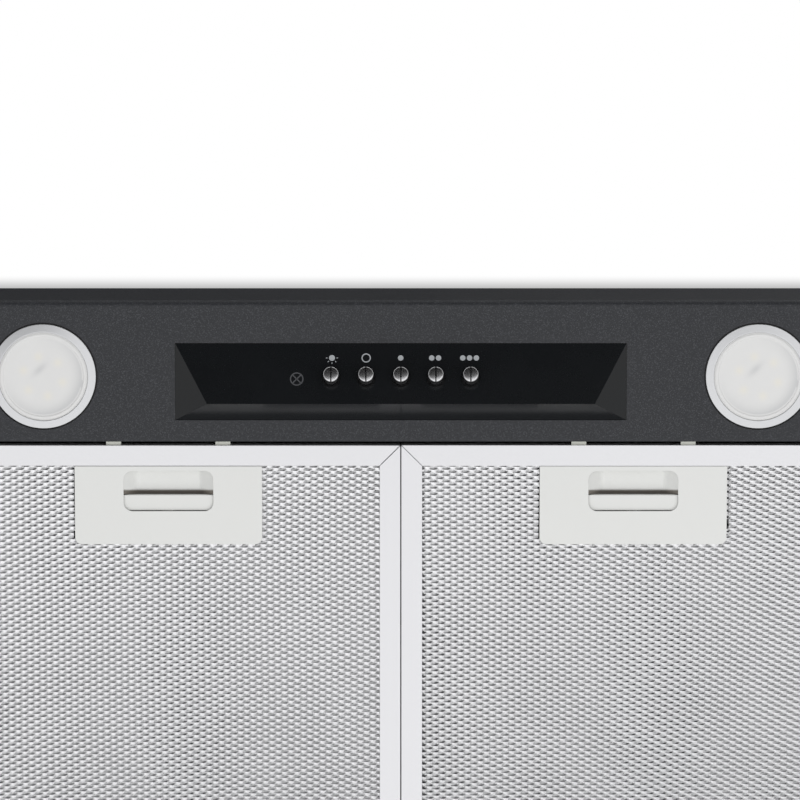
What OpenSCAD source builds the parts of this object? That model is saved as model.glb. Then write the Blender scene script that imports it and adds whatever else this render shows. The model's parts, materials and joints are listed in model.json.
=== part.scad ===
// Wall mount chimney range hood, 60 cm class, seen from below in its photograph.
// X runs along the width, the front faces -Y and the wall is the plane Y = 0.
// The shapes are written with Z = 0 at the underside, and in_hood_frame() moves
// them so that the origin is the centre of the four wall screw holes.

/* [Canopy] */
// Thickness of the steel sheet
sheet = 1; // [0.8:0.1:1.5]
// Height of the upright lip round the canopy
lip_h = 50; // [42:1:80]
// Outer radius of the canopy's folded edges
bend_r = 4; // [2.5:0.5:8]
// Height of the pyramid above the lip
pyramid_h = 190; // [160:5:260]
// Underside in front of the filters
front_strip = 82; // [80:0.5:110]
// Underside between the filters and the wall
rear_strip = 84; // [60:1:110]
// Underside beside the filters
side_strip = 30.5; // [20:0.5:60]

/* [Chimney] */
// Width of the chimney covers
chimney_w = 250; // [250:1:300]
// Depth of the chimney covers from the wall
chimney_d = 237; // [232:1:260]
// Height of the lower cover
lower_h = 400; // [380:5:500]
// Height of the upper cover
upper_h = 410; // [380:5:480]
// Gap between the two covers
cover_gap = 0.8; // [0.5:0.1:1.5]
// Width of the covers' folds along the wall
cover_fold = 15; // [10:1:20]

/* [Grease filters] */
// Width of one filter
filter_w = 267.5; // [240:0.5:300]
// Depth of one filter
filter_d = 305.5; // [260:0.5:340]
// Thickness of one filter
filter_t = 9; // [8.5:0.5:14]
// Width of the frame rails
rail_w = 12; // [10:0.5:16]
// Thickness of the frame's sheet
rail_sheet = 0.8; // [0.6:0.1:1]
// Gap at each mitred corner
mitre_gap = 0.2; // [0.1:0.05:0.4]
// Gap between the two filters
filter_seam = 0.6; // [0.4:0.1:2]
// Gap beside each filter
side_gap = 1; // [0.6:0.1:2]
// Gap between the front panel and the filters
front_gap = 2.3; // [1.5:0.1:4]
// Gap behind the filters
rear_gap = 1.5; // [1.4:0.1:2.5]
// Thickness of one layer of expanded metal
layer_t = 0.25; // [0.2:0.05:0.4]
// Number of layers
layer_count = 6; // [4:1:7]

/* [Filter handles] */
// Width of the handle plate
plate_w = 108; // [96:1:130]
// Depth of the handle plate
plate_d = 46; // [44:1:60]
// Thickness of the handle plate's walls
plate_wall = 1.5; // [1.2:0.1:1.6]
// Width of the finger pocket
pocket_w = 51.8; // [44:0.2:52.4]
// Depth of the finger pocket
pocket_d = 23.7; // [22:0.1:26]
// Distance from the front rail to the pocket
pocket_inset = 2.9; // [2:0.1:4]
// Depth of the latch bar
latch_bar_d = 9.3; // [7:0.1:10]
// Thickness of the latch slider
latch_t = 3; // [2.5:0.1:3.5]
// Distance between the two tongues of a latch
tongue_spacing = 63; // [62:0.5:76]
// Width of a tongue
tongue_w = 8.7; // [6.5:0.1:10]
// Travel of the latch
latch_travel = 7; // [4:0.5:8]
// Gap between a tongue and the panel's edge
tongue_clear = 0.3; // [0.2:0.1:0.6]

/* [Controls] */
// Width of the control fascia
fascia_w = 259; // [220:1:300]
// Depth of the control fascia
fascia_d = 44.3; // [42:0.1:50]
// Distance from the canopy's front to the fascia
fascia_y = 25; // [22:0.5:28]
// Distance from the fascia's front edge to its ridge
ridge_y = 33; // [32:0.1:36]
// Height of the ridge below the panel
ridge_drop = 13; // [11:0.5:15]
// Length of each sloping end of the fascia
hip_l = 18.4; // [14:0.1:24]
// Wall of the fascia
fascia_wall = 2; // [1.5:0.1:2.5]
// Distance between buttons
button_pitch = 20; // [16:0.5:20.5]
// Diameter of a button cap
button_dia = 9; // [7.5:0.5:10]
// Diameter of a button's hole in the fascia
button_hole_dia = 11; // [10.5:0.5:13]
// How far a button stands out
button_out = 11; // [6:0.5:12]
// Travel of a button
button_travel = 3.5; // [2:0.5:3.5]
// Distance from the fascia's front edge to the buttons' holes
button_y = 18.8; // [18:0.1:20.5]

/* [Lamps] */
// Distance from the middle to each lamp
lamp_x = 205.5; // [190:0.5:240]
// Distance from the canopy's front to the lamps
lamp_y = 44; // [42:0.5:46]
// Outer diameter of the lamp ring
lamp_ring_dia = 60.4; // [54:0.2:64]
// Diameter of the lamp lens
lamp_lens_dia = 51; // [40:0.5:52]
// Gap between the lamp ring and its hole
lamp_gap = 1; // [0.6:0.1:1.5]
// How far the lamp ring stands out
lamp_out = 1.5; // [1:0.1:3]
// Height of the lamp can above the panel
lamp_can_h = 28; // [22:1:34]

/* [Blower] */
// Radius of the scroll
scroll_r = 90; // [84:1:92]
// Width of the blower casing
casing_w = 124; // [110:1:130]
// Wall of the casing
casing_wall = 2.5; // [2:0.1:3]
// Height of the shaft above the top plate
shaft_h = 104; // [102:1:120]
// Radius of the impeller
impeller_r = 70; // [60:1:72]
// Length of the impeller
impeller_l = 104; // [90:1:104]
// Number of blades
blade_count = 36; // [24:1:48]
// Radius of the casing's inlets
inlet_r = 58; // [52:1:60]
// Radius of the motor
motor_r = 38; // [32:1:40]
// Radius of the shaft
shaft_r = 4; // [3:0.5:5]
// Radial clearance of the shaft in the motor
shaft_clear = 0.05; // [0.03:0.01:0.08]

/* [Outlet] */
// Outer diameter of the duct collar
collar_dia = 150; // [120:1:150]
// Height of the duct collar
collar_h = 56; // [50:1:80]
// Wall of the collar
collar_wall = 2; // [1.5:0.1:2.5]
// Thickness of the damper flaps
flap_t = 1.5; // [1:0.1:2]
// Radius of the damper pin
damper_pin_r = 1.5; // [1.2:0.1:2]

/* [Wall fixing] */
// Distance between the wall screws along the wall
wall_spacing_x = 180; // [140:5:200]
// Height between the wall screws
wall_spacing_z = 150; // [110:5:150]
// Radius of the wall screw holes
wall_hole_r = 4; // [3:0.5:4.5]
// Distance from the top plate down to the upper wall screws
wall_hole_drop = 30; // [29:1:40]
// Distance between the ceiling bracket's holes
ceiling_spacing = 160; // [120:5:180]

/* [Hidden] */

// Roundness of small and of large circles
fine = 32;
smooth = 96;
// How far a cut runs past the face that it opens
eps = 1;
// Radial clearance of a screw or stud in its hole
press_gap = 0.05;
// Clearance of pieces that slide or drop in
slide_gap = 0.3;
// Height at which a loose piece rests above its seat
seat_gap = 0.1;

// Canopy
opening_w = 2 * filter_w + filter_seam + 2 * side_gap;
opening_d = front_gap + filter_d + rear_gap;
body_w = opening_w + 2 * side_strip;
body_d = front_strip + opening_d + rear_strip;
pyramid_top = lip_h + pyramid_h;
side_run = (body_w - chimney_w) / 2;
front_run = body_d - chimney_d;
// Sheet of the sloping walls, measured level
side_wall = sheet * sqrt(side_run * side_run + pyramid_h * pyramid_h) / pyramid_h;
front_wall = sheet * sqrt(front_run * front_run + pyramid_h * pyramid_h) / pyramid_h;
skirt_h = 12;
// Up-turned fold at the rear of the base and down-turned fold of the top plate
rear_fold_h = 14;
rear_fold_inset = 12;
rivet_r = 1.6;
rivet_head_r = 3;
rivet_head_t = 1.2;
rivet_edge = 45;
rivet_pitch = 165;
top_rivet_x = 70;

// Screws, studs and nuts
screw_r = 1.75;
screw_head_r = 3.4;
screw_head_t = 1.6;
stud_r = 1.5;
nut_r = 3.4;
nut_t = 2.4;
stud_end = 1;
// Length of the cuts that make screw and stud holes
hole_l = 10;

// Blower, whose shaft runs along X
blower_y = -chimney_d / 2;
shaft_z = pyramid_top + shaft_h;
neck_rim = 5;
neck_side = collar_dia + 2 * neck_rim;
neck_t = 3;
neck_inner_w = casing_w - 2 * casing_wall;
neck_rise = 12;
neck_z = shaft_z + scroll_r + neck_rise;
foot_w = 16;
foot_t = 10;
foot_reach = 12;
foot_sole = 3;
foot_rise = 40;
foot_y = scroll_r - 20;
hub_t = 4;
hub_boss_r = 14;
hub_boss_l = 12;
blade_ring_t = 12;
blade_t = 1.2;
blade_angle = 35;
end_ring_w = 3;
motor_gap = 5;
motor_step = 3;
motor_start = hub_t / 2 + motor_gap;
motor_l = casing_w / 2 - motor_start;
motor_bore_l = motor_l - 10;
shaft_end_gap = 2;
bracket_t = 3;
inlet_rim = 8;
bracket_hub_r = 24;
arm_w = 12;
guard_wire = 2.4;
guard_ring_count = 4;
arm_count = 3;
case_screw_l = 5;
motor_screw_r = 14;

// Top plate
air_hole_w = casing_w + 46;
air_hole_d = 2 * foot_y - 6;
tab_h = 15;
tab_w = 14;
tab_y = -30;

// Chimney covers
upper_back = sheet + slide_gap;
upper_w = chimney_w - 2 * (sheet + cover_gap);
upper_d = chimney_d - sheet - cover_gap - upper_back;
upper_z = pyramid_top + tab_h + slide_gap;
cover_bend_r = 2.5;
vent_count = 5;
vent_l = 110;
vent_h = 4;
vent_pitch = 9;
vent_drop = 60;
ceiling_bracket_h = 26;
ceiling_bracket_t = 1.5;
ceiling_bracket_drop = 4;
ceiling_ear_d = 30;
ceiling_hole_r = 3;
ceiling_pad_r = 10;
ceiling_z = upper_z + upper_h - ceiling_bracket_drop - ceiling_bracket_h / 2;
ceiling_screw_y = -20;
cover_screw_l = 5;

// Duct collar and its damper
collar_flange_t = 2;
collar_z = neck_z + neck_t;
collar_inner_r = collar_dia / 2 - collar_wall;
collar_screw_inset = 6;
damper_rise = 16;
damper_z = collar_z + collar_flange_t + damper_rise;
stop_ring_w = 3;
stop_ring_t = 2;
pin_clear = 0.08;
pin_inset = 0.2;
knuckle_wall = 1.5;
knuckle_r = damper_pin_r + pin_clear + knuckle_wall;
knuckle_l = 16;
knuckle_x = 20;
rear_knuckle_x = knuckle_x + knuckle_l + 1;
flap_gap = 0.8;
flap_r = collar_inner_r - flap_gap;
flap_edge = knuckle_r + 0.4;

// Electrical pieces on the top plate
terminal_w = 36;
terminal_d = 34;
terminal_h = 36;
terminal_wall = 2;
// Gap between the casing and the electrical pieces beside it
side_clear = 3;
terminal_x = -casing_w / 2 - side_clear - terminal_w;
terminal_step = 7.4;
terminal_y = blower_y + foot_y + terminal_step;
lid_t = 2.5;
gland_r = 9;
gland_h = 12;
gland_nut_r = 10.5;
gland_nut_h = 5;
gland_spigot_r = 6;
cable_hole_r = 3.5;
capacitor_r = 14;
capacitor_h = 52;
capacitor_step = 12.5;
capacitor_x = casing_w / 2 + side_clear + capacitor_r;
capacitor_y = blower_y + foot_y + capacitor_step + capacitor_r;
capacitor_cap_r = 9;
capacitor_cap_h = 4;
wire_r = 2.5;
wire_hole_r = 4;

// Control fascia, whose button face tilts towards the front
fascia_top = 2;
fascia_flange = 8;
fascia_gap = 0.3;
face_tilt = atan(ridge_drop / ridge_y);
face_front = fascia_y - body_d;
fascia_lift = fascia_wall / cos(face_tilt);
button_count = 5;
stem_r = 3;
stem_clear = 0.1;
stem_l = 16;
cap_edge = 0.4;
block_end = 12;
block_w = (button_count - 1) * button_pitch + 2 * block_end;
block_d = 20;
block_z = button_travel + 0.5;
block_h = 20;
block_bore = stem_l + button_travel - block_z + 1;
plug_w = 8;
plug_d = 10;
plug_h = 9;
// Height of the switch block's upper front edge, over which the wire passes
block_top_z = (block_z + block_h) * cos(face_tilt) + block_d / 2 * sin(face_tilt) - button_y * tan(face_tilt);
wire_z = block_top_z + wire_r + slide_gap;
lug_l = 9;
lug_t = 3;
boss_r = 4;
block_screw_l = lug_t + 2;

// Lamps
lamp_ring_r = lamp_ring_dia / 2;
lamp_hole_r = lamp_ring_r + lamp_gap;
lamp_flange_w = 6.6;
lamp_flange_r = lamp_hole_r + lamp_flange_w;
lens_ledge = 0.8;
lens_r = lamp_lens_dia / 2 + lens_ledge;
lens_pocket_r = lens_r + seat_gap;
lens_t = 2;
lamp_edge = 0.6;
lamp_wall = 1.2;
lamp_can_r = lens_pocket_r + lamp_wall;
board_t = 1.6;
board_z = 9;
board_post_r = 5;
led_count = 6;
led_side = 3;
led_t = 1;
led_ring_r = 12;

// Grease filters
pivot_y = -rear_strip;
front_edge_y = pivot_y - rear_gap - filter_d;
filter_x = (filter_w + filter_seam) / 2;
layer_gap = 0.1;
layer_pitch = (filter_t - 2 * (rail_sheet + layer_gap) - layer_t) / (layer_count - 1);
filter_tab_x = 65;
filter_tab_w = 14;
filter_tab_l = 8;
filter_tab_t = 1;
filter_tab_h = 6;
filter_tab_back = 0.8;

// Filter handles and latches
plate_h = filter_t - rail_sheet;
plate_corner_r = 4;
pocket_y = rail_w + pocket_inset;
pocket_corner_r = 5;
pocket_wall = 0.9;
pull_gap = 2.4;
scoop_d = pocket_d - latch_bar_d - pull_gap;
scoop_h = 6.5;
scoop_ramp = 8.6;
bar_y = pocket_y + pocket_d - latch_bar_d;
bar_gap = 0.3;
bar_lift = 0.2;
latch_z = plate_wall + slide_gap;
arm_w_latch = 6;
tongue_out = front_gap - tongue_clear;
tongue_l = 5;
spring_r = 2.4;
spring_wire = 0.8;
spring_z = plate_wall + spring_r + slide_gap;
spring_seat_w = 8;
spring_seat_d = 3;
stop_x = 24;
stop_w = 8;
stop_y = bar_y + latch_bar_d - bar_gap + latch_travel + seat_gap;
spring_end_y = rail_w + plate_d - plate_wall;

// Wall fixing
wall_hole_top = pyramid_top - wall_hole_drop;
wall_bracket_w = 40;
wall_bracket_h = 28;
wall_bracket_t = 2.5;
wall_bracket_d = 20;
// Height of the part's origin above the underside
frame_z = wall_hole_top - wall_spacing_z / 2;

// Helpers

// Moves the hood from its underside to its own origin
module in_hood_frame() {
    translate([0, 0, -frame_z]) children();
}

// Puts a second copy on the other side of the middle
module both_sides() {
    children();
    mirror([1, 0, 0]) children();
}

// Extrudes a drawing of Y and Z along X, centred on the middle
module along_x(length) {
    rotate([90, 0, 90]) linear_extrude(height = length, center = true) children();
}

// Extrudes a drawing of X and Z along Y, centred on Y = 0
module along_y(length) {
    rotate([90, 0, 0]) linear_extrude(height = length, center = true) children();
}

// Round bar along X that starts at the given place
module bar_x(start, length, r) {
    translate([start, 0, 0]) rotate([0, 90, 0]) cylinder(r = r, h = length, $fn = smooth);
}

module ring(r_out, r_in, h) {
    difference() {
        cylinder(r = r_out, h = h, $fn = smooth);
        translate([0, 0, -eps]) cylinder(r = r_in, h = h + 2 * eps, $fn = smooth);
    }
}

// Rectangle standing on its lower edge, whose two lower corners are round
module tray_outline(w, h, r) {
    translate([-w / 2, r]) square([w, h - r]);
    translate([r - w / 2, 0]) square([w - 2 * r, h]);
    for (side = [-1, 1]) {
        translate([side * (w / 2 - r), r]) circle(r = r, $fn = fine);
    }
}

// Rectangle centred on its lower edge, with four round corners
module round_outline(w, h, r) {
    translate([-w / 2, r]) square([w, h - 2 * r]);
    translate([r - w / 2, 0]) square([w - 2 * r, h]);
    for (side = [-1, 1]) {
        translate([side * (w / 2 - r), r]) circle(r = r, $fn = fine);
        translate([side * (w / 2 - r), h - r]) circle(r = r, $fn = fine);
    }
}

// Screw whose head lies on Z = 0 and whose shank points down
module screw(shank_l) {
    cylinder(r1 = screw_head_r, r2 = screw_head_r - screw_head_t / 2, h = screw_head_t, $fn = fine);
    translate([0, 0, -shank_l]) cylinder(r = screw_r, h = shank_l + eps / 2, $fn = fine);
}

// Hole for a screw or a stud, through any sheet near Z = 0
module screw_hole() {
    cylinder(r = screw_r + press_gap, h = hole_l, center = true, $fn = fine);
}

module stud_hole() {
    cylinder(r = stud_r + press_gap, h = hole_l, center = true, $fn = fine);
}

// Welded stud that stands on Z = 0, with a nut on a flange of the given thickness
module stud_and_nut(flange_t) {
    cylinder(r = stud_r, h = flange_t + nut_t + stud_end, $fn = fine);
    translate([0, 0, flange_t]) cylinder(r = nut_r, h = nut_t, $fn = 6);
}

// Canopy

// Solid outline of the canopy's base, round along its lower edges
module tray_block(inset, z, h) {
    intersection() {
        along_y(2 * body_d) translate([0, z]) tray_outline(body_w - 2 * inset, h, bend_r - inset);
        along_x(body_w) translate([0, z]) tray_outline(2 * (body_d - inset), h, bend_r - inset);
    }
}

module rivet_hole() {
    rotate([90, 0, 0]) cylinder(r = rivet_r + press_gap, h = 6 * sheet, center = true, $fn = fine);
}

module base_rivet_places() {
    both_sides() {
        for (x = [body_w / 2 - rivet_edge, body_w / 2 - rivet_edge - rivet_pitch]) {
            translate([x, -sheet, sheet + rear_fold_h / 2]) children();
        }
    }
}

module top_rivet_places() {
    both_sides() translate([top_rivet_x, -sheet, pyramid_top - rear_fold_h / 2]) children();
}

// Folded tray with the lip, the panel and the filters' opening
module canopy_base() {
    color("#3f4043")
    difference() {
        union() {
            difference() {
                tray_block(0, 0, lip_h);
                tray_block(sheet, sheet, lip_h);
                translate([-opening_w / 2, -rear_strip - opening_d, -eps])
                    cube([opening_w, opening_d, 2 * eps + sheet]);
            }
            translate([rear_fold_inset - body_w / 2, -2 * sheet, 0])
                cube([body_w - 2 * rear_fold_inset, sheet, sheet + rear_fold_h]);
        }
        translate([-body_w, -sheet, -eps]) cube([2 * body_w, 2 * body_d, lip_h + 2 * eps]);
        translate([-fascia_w / 2 - fascia_gap, face_front - fascia_gap, -eps])
            cube([fascia_w + 2 * fascia_gap, fascia_d + 2 * fascia_gap, sheet + 2 * eps]);
        both_sides() translate([lamp_x, lamp_y - body_d, -eps])
            cylinder(r = lamp_hole_r, h = sheet + 2 * eps, $fn = smooth);
        base_rivet_places() rivet_hole();
    }
}

function half_width(z) = body_w / 2 - side_run * (z - lip_h) / pyramid_h;
function depth(z) = body_d - front_run * (z - lip_h) / pyramid_h;

// Solid that narrows from the canopy's outline to the chimney's
module pyramid_block(side_inset, front_inset, extra) {
    low = lip_h - extra;
    high = pyramid_top + extra;
    low_x = half_width(low) - side_inset;
    high_x = half_width(high) - side_inset;
    low_y = front_inset - depth(low);
    high_y = front_inset - depth(high);
    intersection() {
        along_y(2 * body_d) polygon([[-low_x, low], [low_x, low], [high_x, high], [-high_x, high]]);
        along_x(body_w) polygon([[low_y, low], [0, low], [0, high], [high_y, high]]);
    }
}

// Sloping cover between the base and the chimney, with a skirt inside the lip
module canopy_pyramid() {
    color("#3f4043")
    difference() {
        union() {
            difference() {
                pyramid_block(0, 0, 0);
                pyramid_block(side_wall, front_wall, eps);
            }
            difference() {
                translate([sheet - body_w / 2, sheet - body_d, lip_h - skirt_h])
                    cube([body_w - 2 * sheet, body_d, skirt_h + sheet]);
                translate([2 * sheet - body_w / 2, 2 * sheet - body_d, lip_h - skirt_h - eps])
                    cube([body_w - 4 * sheet, body_d, skirt_h + sheet + 2 * eps]);
            }
        }
        translate([-body_w, -sheet, 0]) cube([2 * body_w, 2 * body_d, 2 * pyramid_top]);
    }
}

module wall_hole_places() {
    both_sides() {
        for (z = [wall_hole_top, wall_hole_top - wall_spacing_z]) {
            translate([wall_spacing_x / 2, 0, z]) children();
        }
    }
}

module wall_hole() {
    rotate([90, 0, 0]) cylinder(r = wall_hole_r, h = 4 * wall_bracket_t, center = true, $fn = fine);
}

// Flat sheet that closes the canopy at the wall
module back_panel() {
    color("#8f9294")
    difference() {
        translate([0, -sheet / 2, 0]) along_y(sheet) {
            tray_outline(body_w, lip_h, bend_r);
            polygon([
                [-body_w / 2, lip_h], [body_w / 2, lip_h],
                [chimney_w / 2, pyramid_top], [-chimney_w / 2, pyramid_top]
            ]);
        }
        wall_hole_places() wall_hole();
        base_rivet_places() rivet_hole();
        top_rivet_places() rivet_hole();
    }
}

// Screws of the blower's feet
module foot_places() {
    both_sides() {
        for (side = [-1, 1]) {
            y = blower_y + side * (foot_y + foot_t + foot_reach / 2);
            translate([(casing_w - foot_w) / 2, y, pyramid_top]) children();
        }
    }
}

module tab_screw_places() {
    both_sides() {
        translate([chimney_w / 2, tab_y, pyramid_top + tab_h / 2]) rotate([0, 90, 0]) children();
    }
}

// Plate that carries the blower and locates the chimney
module top_plate() {
    plate_w_in = chimney_w - 2 * side_wall;
    plate_d_in = chimney_d - front_wall;
    color("#a6a9ab")
    difference() {
        union() {
            translate([-plate_w_in / 2, -plate_d_in, pyramid_top - sheet])
                cube([plate_w_in, plate_d_in - sheet, sheet]);
            translate([rear_fold_inset - plate_w_in / 2, -2 * sheet, pyramid_top - rear_fold_h])
                cube([plate_w_in - 2 * rear_fold_inset, sheet, rear_fold_h]);
            both_sides() translate([chimney_w / 2 - 2 * sheet, tab_y - tab_w / 2, pyramid_top - sheet / 2])
                cube([sheet, tab_w, tab_h + sheet / 2]);
        }
        translate([-air_hole_w / 2, blower_y - air_hole_d / 2, pyramid_top - sheet - eps])
            cube([air_hole_w, air_hole_d, sheet + 2 * eps]);
        at_terminal() translate([terminal_w / 2, terminal_d / 2, 0])
            cylinder(r = wire_hole_r, h = 4 * sheet, center = true, $fn = fine);
        top_rivet_places() rivet_hole();
        foot_places() screw_hole();
        tab_screw_places() screw_hole();
    }
}

// Rivets through the folds and the back panel, flush with the wall face
module canopy_rivets() {
    color("silver") {
        base_rivet_places() rivet();
        top_rivet_places() rivet();
    }
}

module rivet() {
    rotate([90, 0, 0]) {
        translate([0, 0, sheet]) cylinder(r = rivet_head_r, h = rivet_head_t, $fn = fine);
        translate([0, 0, -sheet + seat_gap]) cylinder(r = rivet_r, h = 2 * sheet, $fn = fine);
    }
}

// Bracket that stiffens an upper wall hole, on the right
module wall_bracket() {
    top = wall_hole_top + wall_bracket_h / 2;
    color("#b5b8ba")
    difference() {
        translate([wall_spacing_x / 2 - wall_bracket_w / 2, 0, 0]) {
            translate([0, -sheet - wall_bracket_t, top - wall_bracket_h])
                cube([wall_bracket_w, wall_bracket_t, wall_bracket_h]);
            translate([0, -sheet - wall_bracket_d, top - wall_bracket_t])
                cube([wall_bracket_w, wall_bracket_d, wall_bracket_t]);
        }
        wall_hole_places() wall_hole();
    }
}

// Chimney

module cover_outline(w, d, r) {
    translate([0, -d]) tray_outline(w, d, r);
}

// Plan of a cover: a U that is open to the wall, with a fold along each edge
module cover_plan(w, d) {
    difference() {
        cover_outline(w, d, cover_bend_r);
        translate([0, -sheet]) cover_outline(w - 2 * sheet, d - 2 * sheet, cover_bend_r - sheet);
        translate([cover_fold - w / 2, -2 * sheet]) square([w - 2 * cover_fold, 4 * sheet]);
    }
}

module chimney_lower() {
    color("#3f4043")
    difference() {
        translate([0, 0, pyramid_top]) linear_extrude(height = lower_h) cover_plan(chimney_w, chimney_d);
        tab_screw_places() cylinder(r = screw_r + slide_gap, h = 4 * sheet, center = true, $fn = fine);
    }
}

module ceiling_screw_places() {
    both_sides() translate([upper_w / 2, ceiling_screw_y, ceiling_z]) rotate([0, 90, 0]) children();
}

// Upper cover, which slides up out of the lower one, with slots near its top
module chimney_upper() {
    color("#3f4043")
    difference() {
        translate([0, -upper_back, upper_z]) linear_extrude(height = upper_h) cover_plan(upper_w, upper_d);
        ceiling_screw_places() cylinder(r = screw_r + slide_gap, h = 4 * sheet, center = true, $fn = fine);
        for (i = [0 : vent_count - 1]) {
            translate([-upper_w, blower_y - vent_l / 2, upper_z + upper_h - vent_drop - i * vent_pitch])
                cube([2 * upper_w, vent_l, vent_h]);
        }
    }
}

module chimney_screws() {
    color("#2a2b2d") tab_screw_places() screw(cover_screw_l);
}

// Bracket that holds the upper cover's top to the wall
module ceiling_bracket() {
    inner_w = upper_w - 2 * sheet;
    front = -upper_back - sheet;
    color("#a6a9ab")
    difference() {
        translate([0, 0, ceiling_z - ceiling_bracket_h / 2]) {
            translate([-inner_w / 2, front - ceiling_bracket_t, 0])
                cube([inner_w, ceiling_bracket_t, ceiling_bracket_h]);
            both_sides() translate([inner_w / 2 - ceiling_bracket_t, front - ceiling_ear_d, 0])
                cube([ceiling_bracket_t, ceiling_ear_d, ceiling_bracket_h]);
            both_sides() translate([ceiling_spacing / 2, front / 2, ceiling_bracket_h / 2])
                rotate([90, 0, 0]) cylinder(r = ceiling_pad_r, h = -front, center = true, $fn = smooth);
        }
        both_sides() translate([ceiling_spacing / 2, 0, ceiling_z])
            rotate([90, 0, 0]) cylinder(r = ceiling_hole_r, h = -4 * front, center = true, $fn = fine);
        ceiling_screw_places() screw_hole();
    }
}

module ceiling_screws() {
    color("#2a2b2d") ceiling_screw_places() screw(cover_screw_l);
}

// Blower

// Outline of the scroll and its outlet, round the shaft
module scroll_outline(inset, top) {
    circle(r = scroll_r - inset, $fn = smooth);
    translate([inset - neck_inner_w / 2 - casing_wall, 0])
        square([neck_inner_w + 2 * casing_wall - 2 * inset, top]);
}

// One half of the blower casing, on the right
module blower_casing() {
    color("#d9dadb")
    intersection() {
        difference() {
            union() {
                translate([0, blower_y, shaft_z]) along_x(casing_w) scroll_outline(0, neck_z - shaft_z + eps);
                translate([-neck_side / 2, blower_y - neck_side / 2, neck_z])
                    cube([neck_side, neck_side, neck_t]);
                casing_feet();
            }
            translate([0, blower_y, shaft_z]) {
                along_x(casing_w - 2 * casing_wall) scroll_outline(casing_wall, 2 * scroll_r);
                bar_x(-casing_w, 2 * casing_w, inlet_r);
            }
            foot_places() screw_hole();
            collar_screw_places() screw_hole();
            translate([casing_w / 2, blower_y, shaft_z]) rotate([0, 90, 0]) inlet_screw_holes();
        }
        translate([0, -2 * chimney_d, 0]) cube([chimney_w, 3 * chimney_d, 2 * neck_z]);
    }
}

module casing_feet() {
    both_sides() {
        for (side = [0, 1]) {
            translate([casing_w / 2 - foot_w, blower_y, pyramid_top]) mirror([0, side, 0]) {
                translate([0, foot_y, 0]) cube([foot_w, foot_t, shaft_h - foot_rise]);
                translate([0, foot_y, 0]) cube([foot_w, foot_t + foot_reach, foot_sole]);
            }
        }
    }
}

// Screws round an inlet, one at the end of each arm
module inlet_screw_places() {
    for (i = [0 : arm_count - 1]) {
        rotate(i * 360 / arm_count) translate([inlet_r + inlet_rim / 2, 0, 0]) children();
    }
}

module inlet_screw_holes() {
    inlet_screw_places() screw_hole();
}

// Screws near the corners of the collar's flange
module collar_screw_places() {
    corner = neck_side / 2 - collar_screw_inset;
    for (side_x = [-1, 1]) {
        for (side_y = [-1, 1]) {
            translate([side_x * corner, blower_y + side_y * corner, collar_z]) children();
        }
    }
}

// Plan of the rim round an inlet and the arms across it, from the shaft outwards
module inlet_arms(hub_r, width) {
    difference() {
        circle(r = inlet_r + inlet_rim, $fn = smooth);
        circle(r = inlet_r, $fn = smooth);
    }
    circle(r = hub_r, $fn = smooth);
    for (i = [0 : arm_count - 1]) {
        rotate(i * 360 / arm_count) translate([0, -width / 2]) square([inlet_r + inlet_rim / 2, width]);
    }
}

// Wire guard over the open inlet, on the left
module inlet_guard() {
    color("#8f9294")
    translate([-casing_w / 2, blower_y, shaft_z]) mirror([1, 0, 0]) rotate([0, 90, 0])
    difference() {
        linear_extrude(height = guard_wire) {
            inlet_arms(guard_wire, guard_wire);
            for (i = [1 : guard_ring_count - 1]) {
                difference() {
                    circle(r = i * inlet_r / guard_ring_count + guard_wire / 2, $fn = smooth);
                    circle(r = i * inlet_r / guard_ring_count - guard_wire / 2, $fn = smooth);
                }
            }
        }
        inlet_screw_holes();
    }
}

// Three-armed holder that carries the motor in the right inlet
module motor_bracket() {
    color("#a6a9ab")
    translate([casing_w / 2, blower_y, shaft_z]) rotate([0, 90, 0])
    difference() {
        linear_extrude(height = bracket_t) inlet_arms(bracket_hub_r, arm_w);
        inlet_screw_holes();
        motor_screw_places() screw_hole();
    }
}

module motor_screw_places() {
    for (i = [0 : arm_count - 1]) {
        rotate(i * 360 / arm_count) translate([motor_screw_r, 0, 0]) children();
    }
}

module motor() {
    color("#6d7073")
    translate([0, blower_y, shaft_z])
    difference() {
        union() {
            bar_x(motor_start, motor_l, motor_r - motor_step);
            bar_x(motor_start + motor_l / 4, motor_l / 2, motor_r);
        }
        bar_x(motor_start - eps, motor_bore_l + eps, shaft_r + shaft_clear);
        translate([casing_w / 2, 0, 0]) rotate([0, 90, 0]) motor_screw_places()
            cylinder(r = screw_r + press_gap, h = 2 * (case_screw_l + eps), center = true, $fn = fine);
    }
}

module motor_shaft() {
    color("silver")
    translate([0, blower_y, shaft_z])
        bar_x(-hub_boss_l - eps, hub_boss_l + eps + motor_start + motor_bore_l - shaft_end_gap, shaft_r);
}

// Wheel with blades on both sides of its hub disc
module impeller() {
    color("#55585a")
    translate([0, blower_y, shaft_z])
    difference() {
        union() {
            bar_x(-hub_t / 2, hub_t, impeller_r - blade_ring_t / 2);
            bar_x(-hub_boss_l, hub_boss_l, hub_boss_r);
            along_x(impeller_l) {
                for (i = [0 : blade_count - 1]) {
                    rotate(i * 360 / blade_count) translate([impeller_r - blade_ring_t + blade_t, 0])
                        rotate(blade_angle) square([blade_ring_t - blade_t, blade_t]);
                }
            }
            for (x = [-impeller_l / 2, -hub_t / 2, impeller_l / 2 - end_ring_w]) {
                translate([x, 0, 0]) rotate([0, 90, 0])
                    ring(impeller_r, impeller_r - blade_ring_t, end_ring_w);
            }
        }
        bar_x(-impeller_l, 2 * impeller_l, shaft_r + press_gap);
    }
}

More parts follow.
